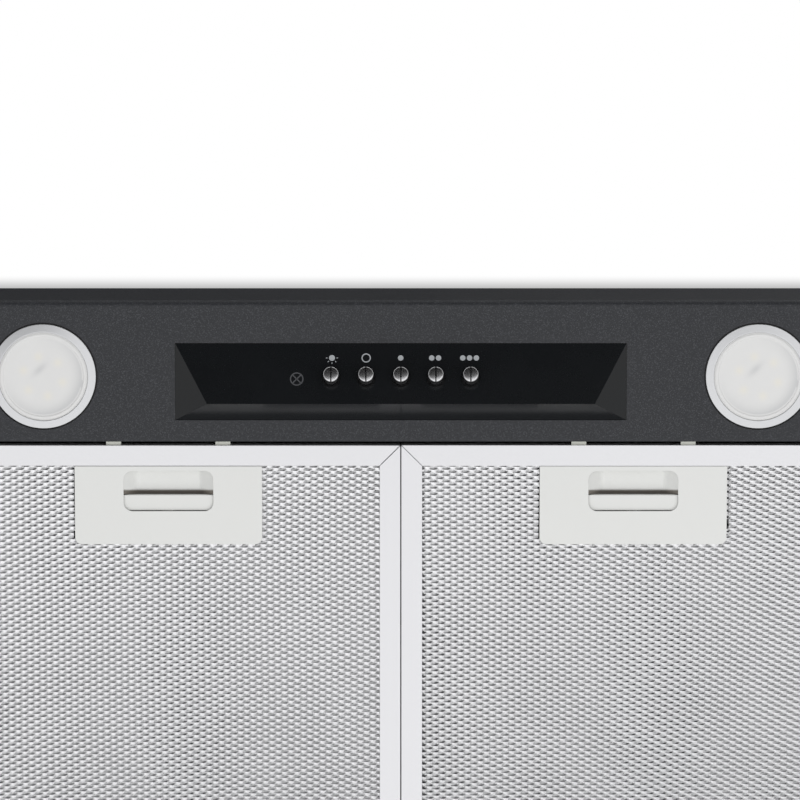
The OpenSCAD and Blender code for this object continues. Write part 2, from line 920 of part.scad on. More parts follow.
module blower_screws() {
    color("#2a2b2d") {
        foot_places() translate([0, 0, foot_sole]) screw(foot_sole + sheet);
        collar_screw_places() translate([0, 0, collar_flange_t]) screw(collar_flange_t + neck_t);
        translate([casing_w / 2, blower_y, shaft_z]) rotate([0, 90, 0]) translate([0, 0, bracket_t]) {
            inlet_screw_places() screw(bracket_t + casing_wall);
            motor_screw_places() screw(case_screw_l + bracket_t);
        }
        translate([-casing_w / 2, blower_y, shaft_z]) mirror([1, 0, 0]) rotate([0, 90, 0])
            translate([0, 0, guard_wire]) inlet_screw_places() screw(guard_wire + casing_wall);
    }
}

// Capacitor of the motor, standing on the top plate
module capacitor() {
    color("#e6e6e2")
    translate([capacitor_x, capacitor_y, pyramid_top]) {
        cylinder(r = capacitor_r, h = capacitor_h, $fn = smooth);
        cylinder(r = capacitor_cap_r, h = capacitor_h + capacitor_cap_h, $fn = smooth);
    }
}

// Outlet

// Collar for the duct, with a ledge inside on which the closed flaps lie
module outlet_collar() {
    color("#d9dadb")
    difference() {
        translate([0, blower_y, collar_z]) {
            difference() {
                union() {
                    translate([-neck_side / 2, -neck_side / 2, 0])
                        cube([neck_side, neck_side, collar_flange_t]);
                    cylinder(r = collar_dia / 2, h = collar_h, $fn = smooth);
                }
                translate([0, 0, -eps]) cylinder(r = collar_inner_r, h = collar_h + 2 * eps, $fn = smooth);
            }
            translate([0, 0, damper_z - collar_z - flap_t / 2 - seat_gap - stop_ring_t])
                ring(collar_inner_r + collar_wall / 2, collar_inner_r - stop_ring_w, stop_ring_t);
        }
        translate([0, blower_y, damper_z]) bar_x(-collar_dia, 2 * collar_dia, damper_pin_r + press_gap);
        collar_screw_places() screw_hole();
    }
}

module damper_pin() {
    color("silver")
    translate([0, blower_y, damper_z])
        bar_x(pin_inset - collar_dia / 2, collar_dia - 2 * pin_inset, damper_pin_r);
}

module at_damper() {
    translate([0, blower_y, damper_z]) children();
}

module behind_pin() {
    at_damper() mirror([0, 1, 0]) children();
}

// Half of the damper, towards the front, with its knuckles starting at the given place
module damper_flap(knuckle_start) {
    color("#8f9294")
    difference() {
        union() {
            intersection() {
                translate([0, 0, -flap_t / 2]) cylinder(r = flap_r, h = flap_t, $fn = smooth);
                translate([-flap_r, -flap_r - flap_edge, -flap_t]) cube([2 * flap_r, flap_r, 2 * flap_t]);
            }
            both_sides() {
                bar_x(knuckle_start, knuckle_l, knuckle_r);
                translate([knuckle_start, -flap_edge - eps, -flap_t / 2])
                    cube([knuckle_l, flap_edge + eps - damper_pin_r, flap_t]);
            }
        }
        bar_x(-collar_dia, 2 * collar_dia, damper_pin_r + pin_clear);
    }
}

// Electrical pieces

module at_terminal() {
    translate([terminal_x, terminal_y, pyramid_top]) children();
}

module terminal_box() {
    color("#2a2b2d")
    at_terminal() {
        difference() {
            cube([terminal_w, terminal_d, terminal_h]);
            translate([terminal_wall, terminal_wall, terminal_wall])
                cube([terminal_w - 2 * terminal_wall, terminal_d - 2 * terminal_wall, terminal_h]);
        }
        translate([terminal_w / 4, terminal_d / 4, 0]) cube([terminal_w / 2, terminal_d / 2, terminal_h / 3]);
    }
}

module terminal_lid() {
    color("#3a3b3d")
    at_terminal() difference() {
        translate([0, 0, terminal_h]) cube([terminal_w, terminal_d, lid_t]);
        translate([terminal_w / 2, terminal_d / 2, terminal_h - eps])
            cylinder(r = gland_spigot_r + press_gap, h = lid_t + 2 * eps, $fn = fine);
    }
}

// Gland in the lid, where the mains cable goes in
module cable_gland() {
    color("#1f2022")
    at_terminal() translate([terminal_w / 2, terminal_d / 2, terminal_h]) difference() {
        union() {
            cylinder(r = gland_spigot_r, h = lid_t + eps, $fn = fine);
            translate([0, 0, lid_t]) cylinder(r = gland_nut_r, h = gland_nut_h, $fn = 6);
            translate([0, 0, lid_t]) cylinder(r = gland_r, h = gland_h, $fn = fine);
        }
        translate([0, 0, -eps]) cylinder(r = cable_hole_r, h = lid_t + gland_h + 2 * eps, $fn = fine);
    }
}

// Straight stretch of wire between two points
module wire(from, to) {
    step = to - from;
    translate(from) rotate([0, acos(step[2] / norm(step)), atan2(step[1], step[0])])
        cylinder(r = wire_r, h = norm(step), $fn = fine);
}

module wire_route(points) {
    for (i = [1 : len(points) - 1]) {
        wire(points[i - 1], points[i]);
    }
    for (i = [1 : len(points) - 2]) {
        translate(points[i]) sphere(r = wire_r, $fn = fine);
    }
}

// Harness from the terminal box down the wall and round the left lip to the front,
// with a branch to the switch block and one to each lamp
module wiring() {
    box_x = terminal_x + terminal_w / 2;
    box_y = terminal_y + terminal_d / 2;
    side_x = sheet + wire_r - body_w / 2;
    front_y = sheet + wire_r - body_d;
    z = wire_z;
    lamp_top = sheet + lamp_can_h;
    plug_x = -(button_count - 1) / 2 * button_pitch;
    color("#1f2022") {
        wire_route([
            [box_x, box_y, pyramid_top], [box_x, box_y, z], [side_x, box_y, z],
            [side_x, front_y, z], [lamp_x, front_y, z], [lamp_x, front_y, lamp_top + wire_r],
            [lamp_x, lamp_y - body_d, lamp_top + wire_r]
        ]);
        wire_route([
            [-lamp_x, front_y, z], [-lamp_x, front_y, lamp_top + wire_r],
            [-lamp_x, lamp_y - body_d, lamp_top + wire_r]
        ]);
        wire_route([[plug_x, front_y, z], [plug_x, plug_front_y(), z]]);
    }
}

// Where the wire along the panel meets the tilted front of the first plug
function plug_front_y() = face_front + button_y - plug_d / 2 / cos(face_tilt)
    + (wire_z + button_y * tan(face_tilt) - wire_r) * tan(face_tilt);

// Controls

// Wedge of the fascia below the panel, with a ridge and sloping ends
module fascia_wedge() {
    intersection() {
        along_y(2 * body_d) polygon([
            [-fascia_w / 2, 0], [fascia_w / 2, 0],
            [fascia_w / 2 - hip_l, -ridge_drop], [hip_l - fascia_w / 2, -ridge_drop]
        ]);
        along_x(fascia_w) polygon([
            [face_front, 0], [face_front + fascia_d, 0], [face_front + ridge_y, -ridge_drop]
        ]);
    }
}

// Puts a piece on the button face, with Z along the buttons' inward travel
module at_face() {
    translate([0, face_front + button_y, -button_y * tan(face_tilt)]) rotate([-face_tilt, 0, 0]) children();
}

module button_places() {
    for (i = [0 : button_count - 1]) {
        translate([(i - (button_count - 1) / 2) * button_pitch, 0, 0]) children();
    }
}

module lug_places() {
    both_sides() translate([(block_w + lug_l) / 2, 0, 0]) children();
}

module fascia_stud_places() {
    both_sides() {
        for (y = [0.25 * fascia_d, 0.75 * fascia_d]) {
            translate([(fascia_w + fascia_flange) / 2, face_front + y, sheet]) children();
        }
    }
}

// Gloss cover of the controls, with a flange that lies on the panel
module control_fascia() {
    color("#17181a") {
        difference() {
            union() {
                fascia_wedge();
                translate([-fascia_w / 2, face_front, 0]) cube([fascia_w, fascia_d, sheet + fascia_top]);
                translate([-fascia_w / 2 - fascia_flange, face_front - fascia_flange, sheet])
                    cube([fascia_w + 2 * fascia_flange, fascia_d + 2 * fascia_flange, fascia_top]);
            }
            translate([0, 0, fascia_lift]) fascia_wedge();
            translate([-fascia_w / 2, face_front, fascia_lift])
                cube([fascia_w, fascia_d, sheet + fascia_top]);
            at_face() button_places() translate([0, 0, -button_out])
                cylinder(r = button_hole_dia / 2, h = button_out + 2 * fascia_wall, $fn = smooth);
            fascia_stud_places() stud_hole();
        }
        at_face() lug_places() difference() {
            translate([0, 0, fascia_wall - press_gap])
                cylinder(r = boss_r, h = block_z - fascia_wall + press_gap, $fn = fine);
            translate([0, 0, fascia_wall]) cylinder(r = screw_r + press_gap, h = block_z, $fn = fine);
        }
    }
}

// Switch block behind the buttons, with a guide for each stem
module switch_block() {
    color("#2c2d2f")
    at_face() {
        difference() {
            union() {
                translate([-block_w / 2, -block_d / 2, block_z]) cube([block_w, block_d, block_h]);
                translate([-block_w / 2 - lug_l, -block_d / 2, block_z])
                    cube([block_w + 2 * lug_l, block_d, lug_t]);
            }
            button_places() translate([0, 0, block_z - eps])
                cylinder(r = stem_r + stem_clear, h = block_bore + eps, $fn = fine);
            lug_places() translate([0, 0, block_z - eps])
                cylinder(r = screw_r + press_gap, h = lug_t + 2 * eps, $fn = fine);
        }
        button_places() translate([-plug_w / 2, -plug_d / 2, block_z + block_h])
            cube([plug_w, plug_d, plug_h]);
    }
}

// Screws of the switch block, and the fascia's studs and nuts
module fascia_fixings() {
    color("silver") {
        at_face() lug_places() translate([0, 0, block_z + lug_t]) screw(block_screw_l - press_gap);
        fascia_stud_places() stud_and_nut(fascia_top);
    }
}

// Push button, counted from the left
module button(index) {
    r = button_dia / 2;
    color("#9a9c9e")
    at_face() translate([(index - (button_count - 1) / 2) * button_pitch, 0, 0]) {
        rotate_extrude($fn = smooth) polygon([
            [0, -button_out], [r - cap_edge, -button_out], [r, cap_edge - button_out], [r, 0], [0, 0]
        ]);
        translate([0, 0, -eps]) cylinder(r = stem_r, h = stem_l + eps, $fn = fine);
    }
}

// Lamps, on the right

module at_lamp() {
    translate([lamp_x, lamp_y - body_d, 0]) children();
}

// Satin ring, with a ledge on which the lens lies
module lamp_ring() {
    r_in = lamp_lens_dia / 2;
    color("#cfd0d2")
    at_lamp() rotate_extrude($fn = smooth) polygon([
        [r_in, -lamp_out], [lamp_ring_r - lamp_edge, -lamp_out], [lamp_ring_r, lamp_edge - lamp_out],
        [lamp_ring_r, sheet], [lens_pocket_r, sheet],
        [lens_pocket_r, lens_ledge - lamp_out], [r_in, lens_ledge - lamp_out]
    ]);
}

module lamp_lens() {
    color("#e9e9e6")
    at_lamp() translate([0, 0, lens_ledge - lamp_out]) cylinder(r = lens_r, h = lens_t, $fn = smooth);
}

module lamp_stud_places() {
    at_lamp() {
        for (i = [0 : arm_count - 1]) {
            rotate(i * 360 / arm_count) translate([lamp_hole_r + lamp_flange_w / 2, 0, sheet]) children();
        }
    }
}

// Can of the lamp, whose flange lies on the panel
module lamp_can() {
    color("#b5b8ba")
    difference() {
        at_lamp() translate([0, 0, sheet]) {
            ring(lamp_flange_r, lamp_can_r - lamp_wall, lamp_wall);
            ring(lamp_can_r, lamp_can_r - lamp_wall, lamp_can_h);
            translate([0, 0, lamp_can_h - lamp_wall]) cylinder(r = lamp_can_r, h = lamp_wall, $fn = smooth);
        }
        lamp_stud_places() stud_hole();
    }
}

// Lamp's board with its chips, hung from the can by a post
module lamp_board() {
    color("#f2f2ee")
    at_lamp() {
        translate([0, 0, board_z]) {
            cylinder(r = lamp_can_r - lamp_wall - slide_gap, h = board_t, $fn = smooth);
            cylinder(r = board_post_r, h = sheet + lamp_can_h - lamp_wall - board_z, $fn = fine);
        }
        for (i = [0 : led_count - 1]) {
            rotate(i * 360 / led_count) translate([led_ring_r - led_side / 2, -led_side / 2, board_z - led_t])
                cube([led_side, led_side, led_t + board_t / 2]);
        }
    }
}

module lamp_nuts() {
    color("silver") lamp_stud_places() stud_and_nut(lamp_wall);
}

// Grease filters, each drawn from the middle of its front edge

module at_filter(side) {
    translate([side * filter_x, front_edge_y, 0]) children();
}

// Plan of a rail along an edge of the given length, cut at 45 degrees at both ends
module rail_plan(length) {
    end = length / 2 - mitre_gap;
    polygon([[-end, 0], [end, 0], [end - rail_w, rail_w], [rail_w - end, rail_w]]);
}

module rail_plans() {
    rail_plan(filter_w);
    translate([0, filter_d]) mirror([0, 1]) rail_plan(filter_w);
    for (side = [-1, 1]) {
        translate([side * filter_w / 2, filter_d / 2]) rotate(side * 90) rail_plan(filter_d);
    }
}

module tongue_places() {
    for (side = [-1, 1]) {
        translate([side * tongue_spacing / 2, 0, latch_z]) children();
    }
}

// Opening that lets a tongue through, from the given place
module tongue_slot(start, length) {
    translate([-tongue_w / 2 - slide_gap, start, -slide_gap])
        cube([tongue_w + 2 * slide_gap, length, latch_t + 2 * slide_gap]);
}

// Four mitred rails, channels that open inwards
module filter_frame(side) {
    color("#e4e4e6")
    at_filter(side) difference() {
        linear_extrude(height = filter_t) rail_plans();
        translate([rail_sheet - filter_w / 2, rail_sheet, rail_sheet])
            cube([filter_w - 2 * rail_sheet, filter_d - 2 * rail_sheet, filter_t - 2 * rail_sheet]);
        tongue_places() tongue_slot(-eps, rail_sheet + 2 * eps);
    }
}

// Layers of expanded metal, cut out round the handle
module filter_mesh(side) {
    edge = rail_sheet + layer_gap;
    notch = plate_w / 2 + slide_gap;
    color("#b9babb")
    at_filter(side) difference() {
        for (i = [0 : layer_count - 1]) {
            translate([edge - filter_w / 2, edge, edge + i * layer_pitch])
                cube([filter_w - 2 * edge, filter_d - 2 * edge, layer_t]);
        }
        translate([-notch, 0, 0]) cube([2 * notch, rail_w + plate_d + slide_gap, filter_t]);
    }
}

// Outline of the handle plate, round at its rear corners
module plate_outline(inset) {
    translate([0, rail_w + plate_d - inset]) mirror([0, 1])
        tray_outline(plate_w - 2 * inset, plate_d - 2 * inset, plate_corner_r - inset);
}

// Solid of the finger scoop, with sloping ends, that ends at the pull gap
module scoop_solid(start, wall) {
    half = pocket_w / 2 + wall;
    top = scoop_h + wall;
    translate([0, (start + scoop_d) / 2, 0]) along_y(scoop_d - start) polygon([
        [-half, 0], [half, 0], [half - scoop_ramp, top], [scoop_ramp - half, top]
    ]);
}

module filter_handle(side) {
    color("#e1e2df")
    at_filter(side) difference() {
        union() {
            difference() {
                linear_extrude(height = plate_h) plate_outline(0);
                translate([0, 0, plate_wall]) linear_extrude(height = plate_h) plate_outline(plate_wall);
            }
            translate([0, pocket_y, 0]) scoop_solid(-pocket_wall, pocket_wall);
        }
        translate([0, pocket_y, -eps]) intersection() {
            linear_extrude(height = scoop_h + 2 * eps) round_outline(pocket_w, pocket_d, pocket_corner_r);
            union() {
                translate([-pocket_w / 2, 0, 0]) cube([pocket_w, scoop_d, eps]);
                translate([0, 0, eps]) scoop_solid(0, 0);
                translate([-pocket_w / 2, scoop_d, 0]) cube([pocket_w, pocket_d, plate_wall + 2 * eps]);
            }
        }
        tongue_places() tongue_slot(rail_w - eps, plate_wall + 2 * eps);
    }
    color("#e1e2df")
    at_filter(side) latch_stops();
}

// Ribs inside the handle plate that stop the latch
module latch_stops() {
    for (x = [-stop_x, stop_x]) {
        translate([x - stop_w / 2, stop_y, plate_wall / 2])
            cube([stop_w, plate_wall, latch_z + latch_t - plate_wall / 2]);
    }
}

// Sprung tabs over the underside behind the filter
module filter_tabs(side) {
    base_z = sheet + seat_gap;
    color("silver")
    at_filter(side) {
        for (x = [-filter_tab_x, filter_tab_x]) {
            translate([x - filter_tab_w / 2, filter_d, base_z]) {
                cube([filter_tab_w, filter_tab_back, filter_tab_h]);
                cube([filter_tab_w, rear_gap + filter_tab_l, filter_tab_t]);
            }
        }
    }
}

// Slider with the bar that the fingers pull and its two tongues
module latch_slider(side) {
    bar_w = pocket_w - 2 * bar_gap;
    bar_d = latch_bar_d - bar_gap;
    yoke_w = tongue_spacing + arm_w_latch;
    color("#dcddda")
    at_filter(side) {
        translate([-bar_w / 2, bar_y, plate_wall + bar_lift]) cube([bar_w, bar_d, latch_t]);
        translate([-yoke_w / 2, bar_y, latch_z]) cube([yoke_w, bar_d, latch_t]);
        translate([-spring_seat_w / 2, bar_y + bar_d - spring_seat_d, latch_z])
            cube([spring_seat_w, spring_seat_d, 2 * spring_r]);
        tongue_places() {
            translate([-arm_w_latch / 2, 0, 0]) cube([arm_w_latch, bar_y + eps, latch_t]);
            translate([-tongue_w / 2, -tongue_out, 0]) cube([tongue_w, tongue_l, latch_t]);
        }
    }
}

// Spring between the slider and the plate's rear wall
module latch_spring(side) {
    start = bar_y + latch_bar_d - bar_gap;
    color("silver")
    at_filter(side) translate([0, start, spring_z]) rotate([-90, 0, 0])
        ring(spring_r, spring_r - spring_wire, spring_end_y - start);
}

in_hood_frame() {
    canopy_base();
    canopy_pyramid();
    back_panel();
    top_plate();
    mirror([1, 0, 0]) wall_bracket();  // wall_bracket_left
    wall_bracket();  // wall_bracket_right
    canopy_rivets();
    chimney_lower();
    chimney_screws();
    mirror([1, 0, 0]) blower_casing();  // blower_casing_left
    blower_casing();  // blower_casing_right
    inlet_guard();
    motor();
    motor_bracket();
    capacitor();
    blower_screws();
    outlet_collar();
    damper_pin();
    terminal_box();
    terminal_lid();
    cable_gland();
    wiring();
    control_fascia();
    switch_block();
    fascia_fixings();
    mirror([1, 0, 0]) lamp_ring();  // lamp_ring_left
    mirror([1, 0, 0]) lamp_lens();  // lamp_lens_left
    mirror([1, 0, 0]) lamp_can();  // lamp_can_left
    mirror([1, 0, 0]) lamp_board();  // lamp_board_left
    mirror([1, 0, 0]) lamp_nuts();  // lamp_nuts_left
    lamp_ring();  // lamp_ring_right
    lamp_lens();  // lamp_lens_right
    lamp_can();  // lamp_can_right
    lamp_board();  // lamp_board_right
    lamp_nuts();  // lamp_nuts_right
    impeller();
    motor_shaft();
    at_damper() damper_flap(knuckle_x);  // damper_flap_front
    behind_pin() damper_flap(rear_knuckle_x);  // damper_flap_rear
    chimney_upper();
    ceiling_bracket();
    ceiling_screws();
    filter_frame(-1);  // filter_frame_left
    filter_mesh(-1);  // filter_mesh_left
    filter_handle(-1);  // filter_handle_left
    filter_tabs(-1);  // filter_tabs_left
    latch_slider(-1);  // latch_slider_left
    latch_spring(-1);  // latch_spring_left
    filter_frame(1);  // filter_frame_right
    filter_mesh(1);  // filter_mesh_right
    filter_handle(1);  // filter_handle_right
    filter_tabs(1);  // filter_tabs_right
    latch_slider(1);  // latch_slider_right
    latch_spring(1);  // latch_spring_right
    button(0);  // button_light
    button(1);  // button_off
    button(2);  // button_speed_1
    button(3);  // button_speed_2
    button(4);  // button_speed_3
}
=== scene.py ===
# Wall mount range hood, seen from below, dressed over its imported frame.
import json
import math

import bpy
import bmesh
from mathutils import Matrix, Vector

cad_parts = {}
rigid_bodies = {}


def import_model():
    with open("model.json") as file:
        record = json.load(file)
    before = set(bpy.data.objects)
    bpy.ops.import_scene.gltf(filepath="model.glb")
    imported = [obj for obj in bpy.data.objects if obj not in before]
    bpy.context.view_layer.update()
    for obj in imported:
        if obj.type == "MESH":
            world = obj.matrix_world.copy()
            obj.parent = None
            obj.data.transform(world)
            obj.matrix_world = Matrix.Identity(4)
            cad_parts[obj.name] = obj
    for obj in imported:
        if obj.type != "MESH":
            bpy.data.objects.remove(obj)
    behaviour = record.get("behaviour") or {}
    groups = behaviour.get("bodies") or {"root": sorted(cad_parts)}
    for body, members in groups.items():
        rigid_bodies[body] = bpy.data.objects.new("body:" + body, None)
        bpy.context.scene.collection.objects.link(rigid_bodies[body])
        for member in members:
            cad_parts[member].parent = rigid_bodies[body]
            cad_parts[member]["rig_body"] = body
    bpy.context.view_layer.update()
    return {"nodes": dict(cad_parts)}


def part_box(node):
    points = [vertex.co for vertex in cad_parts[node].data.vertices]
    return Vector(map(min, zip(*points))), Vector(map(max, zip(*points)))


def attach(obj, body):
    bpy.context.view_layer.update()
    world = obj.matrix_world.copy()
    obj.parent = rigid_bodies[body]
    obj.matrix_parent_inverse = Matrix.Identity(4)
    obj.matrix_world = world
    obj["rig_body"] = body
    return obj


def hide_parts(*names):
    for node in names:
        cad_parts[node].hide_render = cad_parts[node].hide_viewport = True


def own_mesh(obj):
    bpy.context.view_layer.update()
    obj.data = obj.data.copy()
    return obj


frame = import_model()
nodes = frame["nodes"]
sideSign = {"left": -1, "right": 1}
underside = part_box("canopy_base")[0].z
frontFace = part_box("canopy_base")[0].y
print("frame:", len(nodes), "nodes, underside at", round(underside, 4))


# node tools

def addNode(tree, kind, inputs=None, **settings):
    # inputs take another node's socket, a colour without its alpha, or a plain value
    node = tree.nodes.new("ShaderNode" + kind)
    for setting, value in settings.items():
        setattr(node, setting, value)
    for label, value in (inputs or {}).items():
        socket = node.inputs[label]
        if isinstance(value, bpy.types.NodeSocket):
            tree.links.new(value, socket)
        elif socket.type == "RGBA" and len(value) == 3:
            socket.default_value = (*value, 1)
        else:
            socket.default_value = value
    return node


def mathNode(tree, operation, first, second, clamp=False):
    return addNode(tree, "Math", {0: first, 1: second}, operation=operation, use_clamp=clamp).outputs[0]


def rangeNode(tree, value, low, high, toLow=0.0, toHigh=1.0, kind="LINEAR"):
    inputs = {"Value": value, "From Min": low, "From Max": high, "To Min": toLow, "To Max": toHigh}
    return addNode(tree, "MapRange", inputs, interpolation_type=kind).outputs["Result"]


def noiseNode(tree, vector, scale, detail, roughness=0.5):
    inputs = {"Vector": vector, "Scale": scale, "Detail": detail, "Roughness": roughness}
    return addNode(tree, "TexNoise", inputs).outputs["Fac"]


def mixColor(tree, share, first, second):
    return addNode(tree, "Mix", {0: share, 6: first, 7: second}, data_type="RGBA").outputs[2]


def mixShaders(tree, share, first, second, output="Material Output"):
    mix = addNode(tree, "MixShader", {0: share, 1: first.outputs[0], 2: second.outputs[0]})
    tree.links.new(mix.outputs[0], tree.nodes[output].inputs["Surface"])


def objectPlace(tree):
    return addNode(tree, "TexCoord").outputs["Object"]


def plainMaterial(name, metallic=0.0, specular=0.5, coat=0.0, coatRoughness=0.1):
    mat = bpy.data.materials.new(name)
    mat.use_nodes = True
    shader = mat.node_tree.nodes["Principled BSDF"]
    shader.inputs["Metallic"].default_value = metallic
    shader.inputs["Specular IOR Level"].default_value = specular
    shader.inputs["Coat Weight"].default_value = coat
    shader.inputs["Coat Roughness"].default_value = coatRoughness
    return mat, mat.node_tree, shader


# camera, floor and light

view = {
    "distance": 3.0,      # from the underside to the lens
    "lookAtX": -0.0005,
    "lookAtY": -0.4175,   # middle of the picture on the underside
    "span": 0.460,        # width of the picture at the underside
    "leanRatio": 0.1426,  # how steeply the front lip is seen
}


def makeCamera():
    target = Vector((view["lookAtX"], view["lookAtY"], underside))
    ahead = view["leanRatio"] * (view["distance"] + 0.05)
    place = Vector((view["lookAtX"], frontFace - ahead, underside - view["distance"]))
    gaze = (target - place).normalized()
    right = Vector((1, 0, 0))
    up = right.cross(gaze)
    data = bpy.data.cameras.new("camera")
    data.sensor_width = 36
    data.lens = 18 / (view["span"] / 2 / (target - place).length)
    data.clip_start, data.clip_end = 0.05, 60
    cam = bpy.data.objects.new("camera", data)
    cam.matrix_world = Matrix.Translation(place) @ Matrix((right, up, -gaze)).transposed().to_4x4()
    bpy.context.scene.collection.objects.link(cam)
    bpy.context.scene.camera = cam


makeCamera()

room = {
    "floorDrop": 1.65,    # from the underside to the floor
    "floorY": -0.4,
    "floorSize": (9.0, 9.0),
    "floorColor": (0.84, 0.84, 0.85),
    "flagColor": (0.012, 0.012, 0.012),
    "worldStrength": 0.42,
    # a card that paints a soft shadow on the white just above the hood's front edge
    "edgeShadowSize": (0.598, 0.012),
    "edgeShadowUnder": 0.001,  # how far the card reaches behind the front face
    "edgeShadowUp": 0.0505,    # its height over the underside
    "edgeShadowSoft": 0.008,   # where the painted shadow starts, before the front face
    "edgeShadowEnd": 0.002,    # and where it would be full, behind it
    "edgeShadowDark": 0.48,
}
# place, what it looks at, size, and a light's power
flags = {
    "flagBelow": ((0, -1.72, underside - 1.12), (0, -0.45, underside), (3.4, 1.8)),
    "flagAbove": ((0, -1.15, underside + 1.35), (0, -0.45, underside), (4.0, 1.7)),
}
lights = {
    "lightBelow": ((0.1, 0.3, underside - 1.35), (0, 0.1, underside), (3.6, 2.6), 28),
    "lightAbove": ((1.6, -2.2, 1.9), (0, -0.2, 0.1), (2.0, 2.0), 28),
    "lightBehind": ((-1.5, 1.6, 2.3), (0, -0.2, 0.1), (2.0, 2.0), 20),
}


def stageCard(name, size, place, mat):
    bm = bmesh.new()
    bmesh.ops.create_grid(bm, x_segments=1, y_segments=1, size=0.5)
    bmesh.ops.scale(bm, verts=bm.verts, vec=(*size, 1))
    bmesh.ops.transform(bm, matrix=place, verts=bm.verts)
    mesh = bpy.data.meshes.new(name)
    bm.to_mesh(mesh)
    bm.free()
    mesh.materials.append(mat)
    obj = bpy.data.objects.new(name, mesh)
    bpy.context.scene.collection.objects.link(obj)
    return obj


def makeFloor():
    mat, tree, shader = plainMaterial("floorPaint")
    shader.inputs["Base Color"].default_value = (*room["floorColor"], 1)
    shader.inputs["Roughness"].default_value = 0.8
    back = addNode(tree, "NewGeometry").outputs["Backfacing"]
    mixShaders(tree, back, shader, addNode(tree, "BsdfTransparent"))  # seen through from below
    place = Matrix.Translation((0, room["floorY"], underside - room["floorDrop"]))
    stageCard("floor", room["floorSize"], place, mat)


def makeWorld():
    # plain white where it is seen or reflected, dimmer as a light
    world = bpy.data.worlds.new("studio")
    world.use_nodes = True
    tree = world.node_tree
    dim, bright = [addNode(tree, "Background", {"Color": (1, 1, 1), "Strength": strength})
                   for strength in (room["worldStrength"], 1)]
    rays = addNode(tree, "LightPath").outputs
    seen = mathNode(tree, "MAXIMUM", rays["Is Camera Ray"], rays["Is Glossy Ray"])
    seen = mathNode(tree, "MAXIMUM", seen, rays["Is Transmission Ray"])
    mixShaders(tree, seen, dim, bright, "World Output")
    bpy.context.scene.world = world


def softLight(name, place, towards, size, power):
    data = bpy.data.lights.new(name, "AREA")
    data.shape = "RECTANGLE"
    data.size, data.size_y = size
    data.energy = power
    obj = bpy.data.objects.new(name, data)
    obj.location = place
    obj.rotation_mode = "QUATERNION"
    obj.rotation_quaternion = (Vector(towards) - Vector(place)).to_track_quat("-Z", "Y")
    obj.visible_camera = False
    bpy.context.scene.collection.objects.link(obj)


def makeFlag(name, place, towards, size):
    # a black card that only shows in reflections, as a studio would hang one
    mat, tree, shader = plainMaterial(name + "Cloth")
    shader.inputs["Base Color"].default_value = (*room["flagColor"], 1)
    shader.inputs["Roughness"].default_value = 1
    turn = (Vector(towards) - Vector(place)).to_track_quat("Z", "Y")
    obj = stageCard(name, size, Matrix.Translation(place) @ turn.to_matrix().to_4x4(), mat)
    obj.visible_camera = obj.visible_diffuse = obj.visible_shadow = obj.visible_transmission = False


def makeEdgeShadow():
    # a clear card above the front edge, seen from below only, with a painted shadow that dims the white softly
    # towards the hood
    mat, tree, shader = plainMaterial("edgeShadowPaint")
    tree.nodes.remove(shader)
    along = addNode(tree, "SeparateXYZ", {0: objectPlace(tree)}).outputs["Y"]
    fall = rangeNode(tree, along, frontFace - room["edgeShadowSoft"], frontFace + room["edgeShadowEnd"],
                     1.0, room["edgeShadowDark"], "SMOOTHSTEP")
    dimmed = addNode(tree, "BsdfTransparent", {"Color": fall})
    seen = mathNode(tree, "MULTIPLY", addNode(tree, "LightPath").outputs["Is Camera Ray"],
                    addNode(tree, "NewGeometry").outputs["Backfacing"])
    mixShaders(tree, seen, addNode(tree, "BsdfTransparent"), dimmed)
    middleY = frontFace - room["edgeShadowSize"][1] / 2 + room["edgeShadowUnder"]
    stageCard("edgeShadowCard", room["edgeShadowSize"], Matrix.Translation((0, middleY, underside + room["edgeShadowUp"])), mat)


makeFloor()
makeEdgeShadow()
makeWorld()
for name, values in flags.items():
    makeFlag(name, *values)
for name, values in lights.items():
    softLight(name, *values)
bpy.context.scene.view_settings.view_transform = "Standard"
print("camera, floor and light made")


# shared surface effects

def socketKind(value):
    if isinstance(value, float):
        return "NodeSocketFloat"
    return "NodeSocketVector" if len(value) == 3 else "NodeSocketColor"


def groupShell(name, inputs, outputs):
    group = bpy.data.node_groups.new(name, "ShaderNodeTree")
    for label, value in inputs.items():
        socket = group.interface.new_socket(name=label, in_out="INPUT", socket_type=socketKind(value))
        socket.default_value = value
    for label, value in outputs.items():
        group.interface.new_socket(name=label, in_out="OUTPUT", socket_type=socketKind(value))
    return group, group.nodes.new("NodeGroupInput").outputs, group.nodes.new("NodeGroupOutput").inputs


def swingNode(tree, noise):
    # from 0..1 to -1..1
    return mathNode(tree, "SUBTRACT", mathNode(tree, "MULTIPLY", noise, 2), 1)


def putOutVaried(group, come, go, swing, height):
    # colour and roughness that follow the swing, and a height for the bump
    bright = mathNode(group, "ADD", mathNode(group, "MULTIPLY", swing, come["Color Change"]), 1)
    tone = addNode(group, "HueSaturation", {"Value": bright, "Color": come["Color"]})
    change = mathNode(group, "MULTIPLY", swing, come["Roughness Change"])
    rough = mathNode(group, "ADD", come["Roughness"], change, True)
    for label, value in (("Color", tone.outputs["Color"]), ("Roughness", rough), ("Height", height)):
        group.links.new(value, go[label])


variedOutputs = {"Color": (0, 0, 0, 1), "Roughness": 0.0, "Height": 0.0}


def makeGrainGroup():
    # fine surface grain with a slow mottle of colour and roughness
    group, come, go = groupShell("surfaceGrain", {
        "Color": (0.5, 0.5, 0.5, 1), "Roughness": 0.5, "Grain Scale": 900.0, "Mottle Scale": 9.0,
        "Color Change": 0.06, "Roughness Change": 0.08}, variedOutputs)
    where = objectPlace(group)
    grain = noiseNode(group, where, come["Grain Scale"], 3)
    mottle = noiseNode(group, where, come["Mottle Scale"], 4, 0.6)
    fine = mathNode(group, "MULTIPLY", swingNode(group, grain), 0.5)
    putOutVaried(group, come, go, mathNode(group, "ADD", swingNode(group, mottle), fine), grain)
    return group


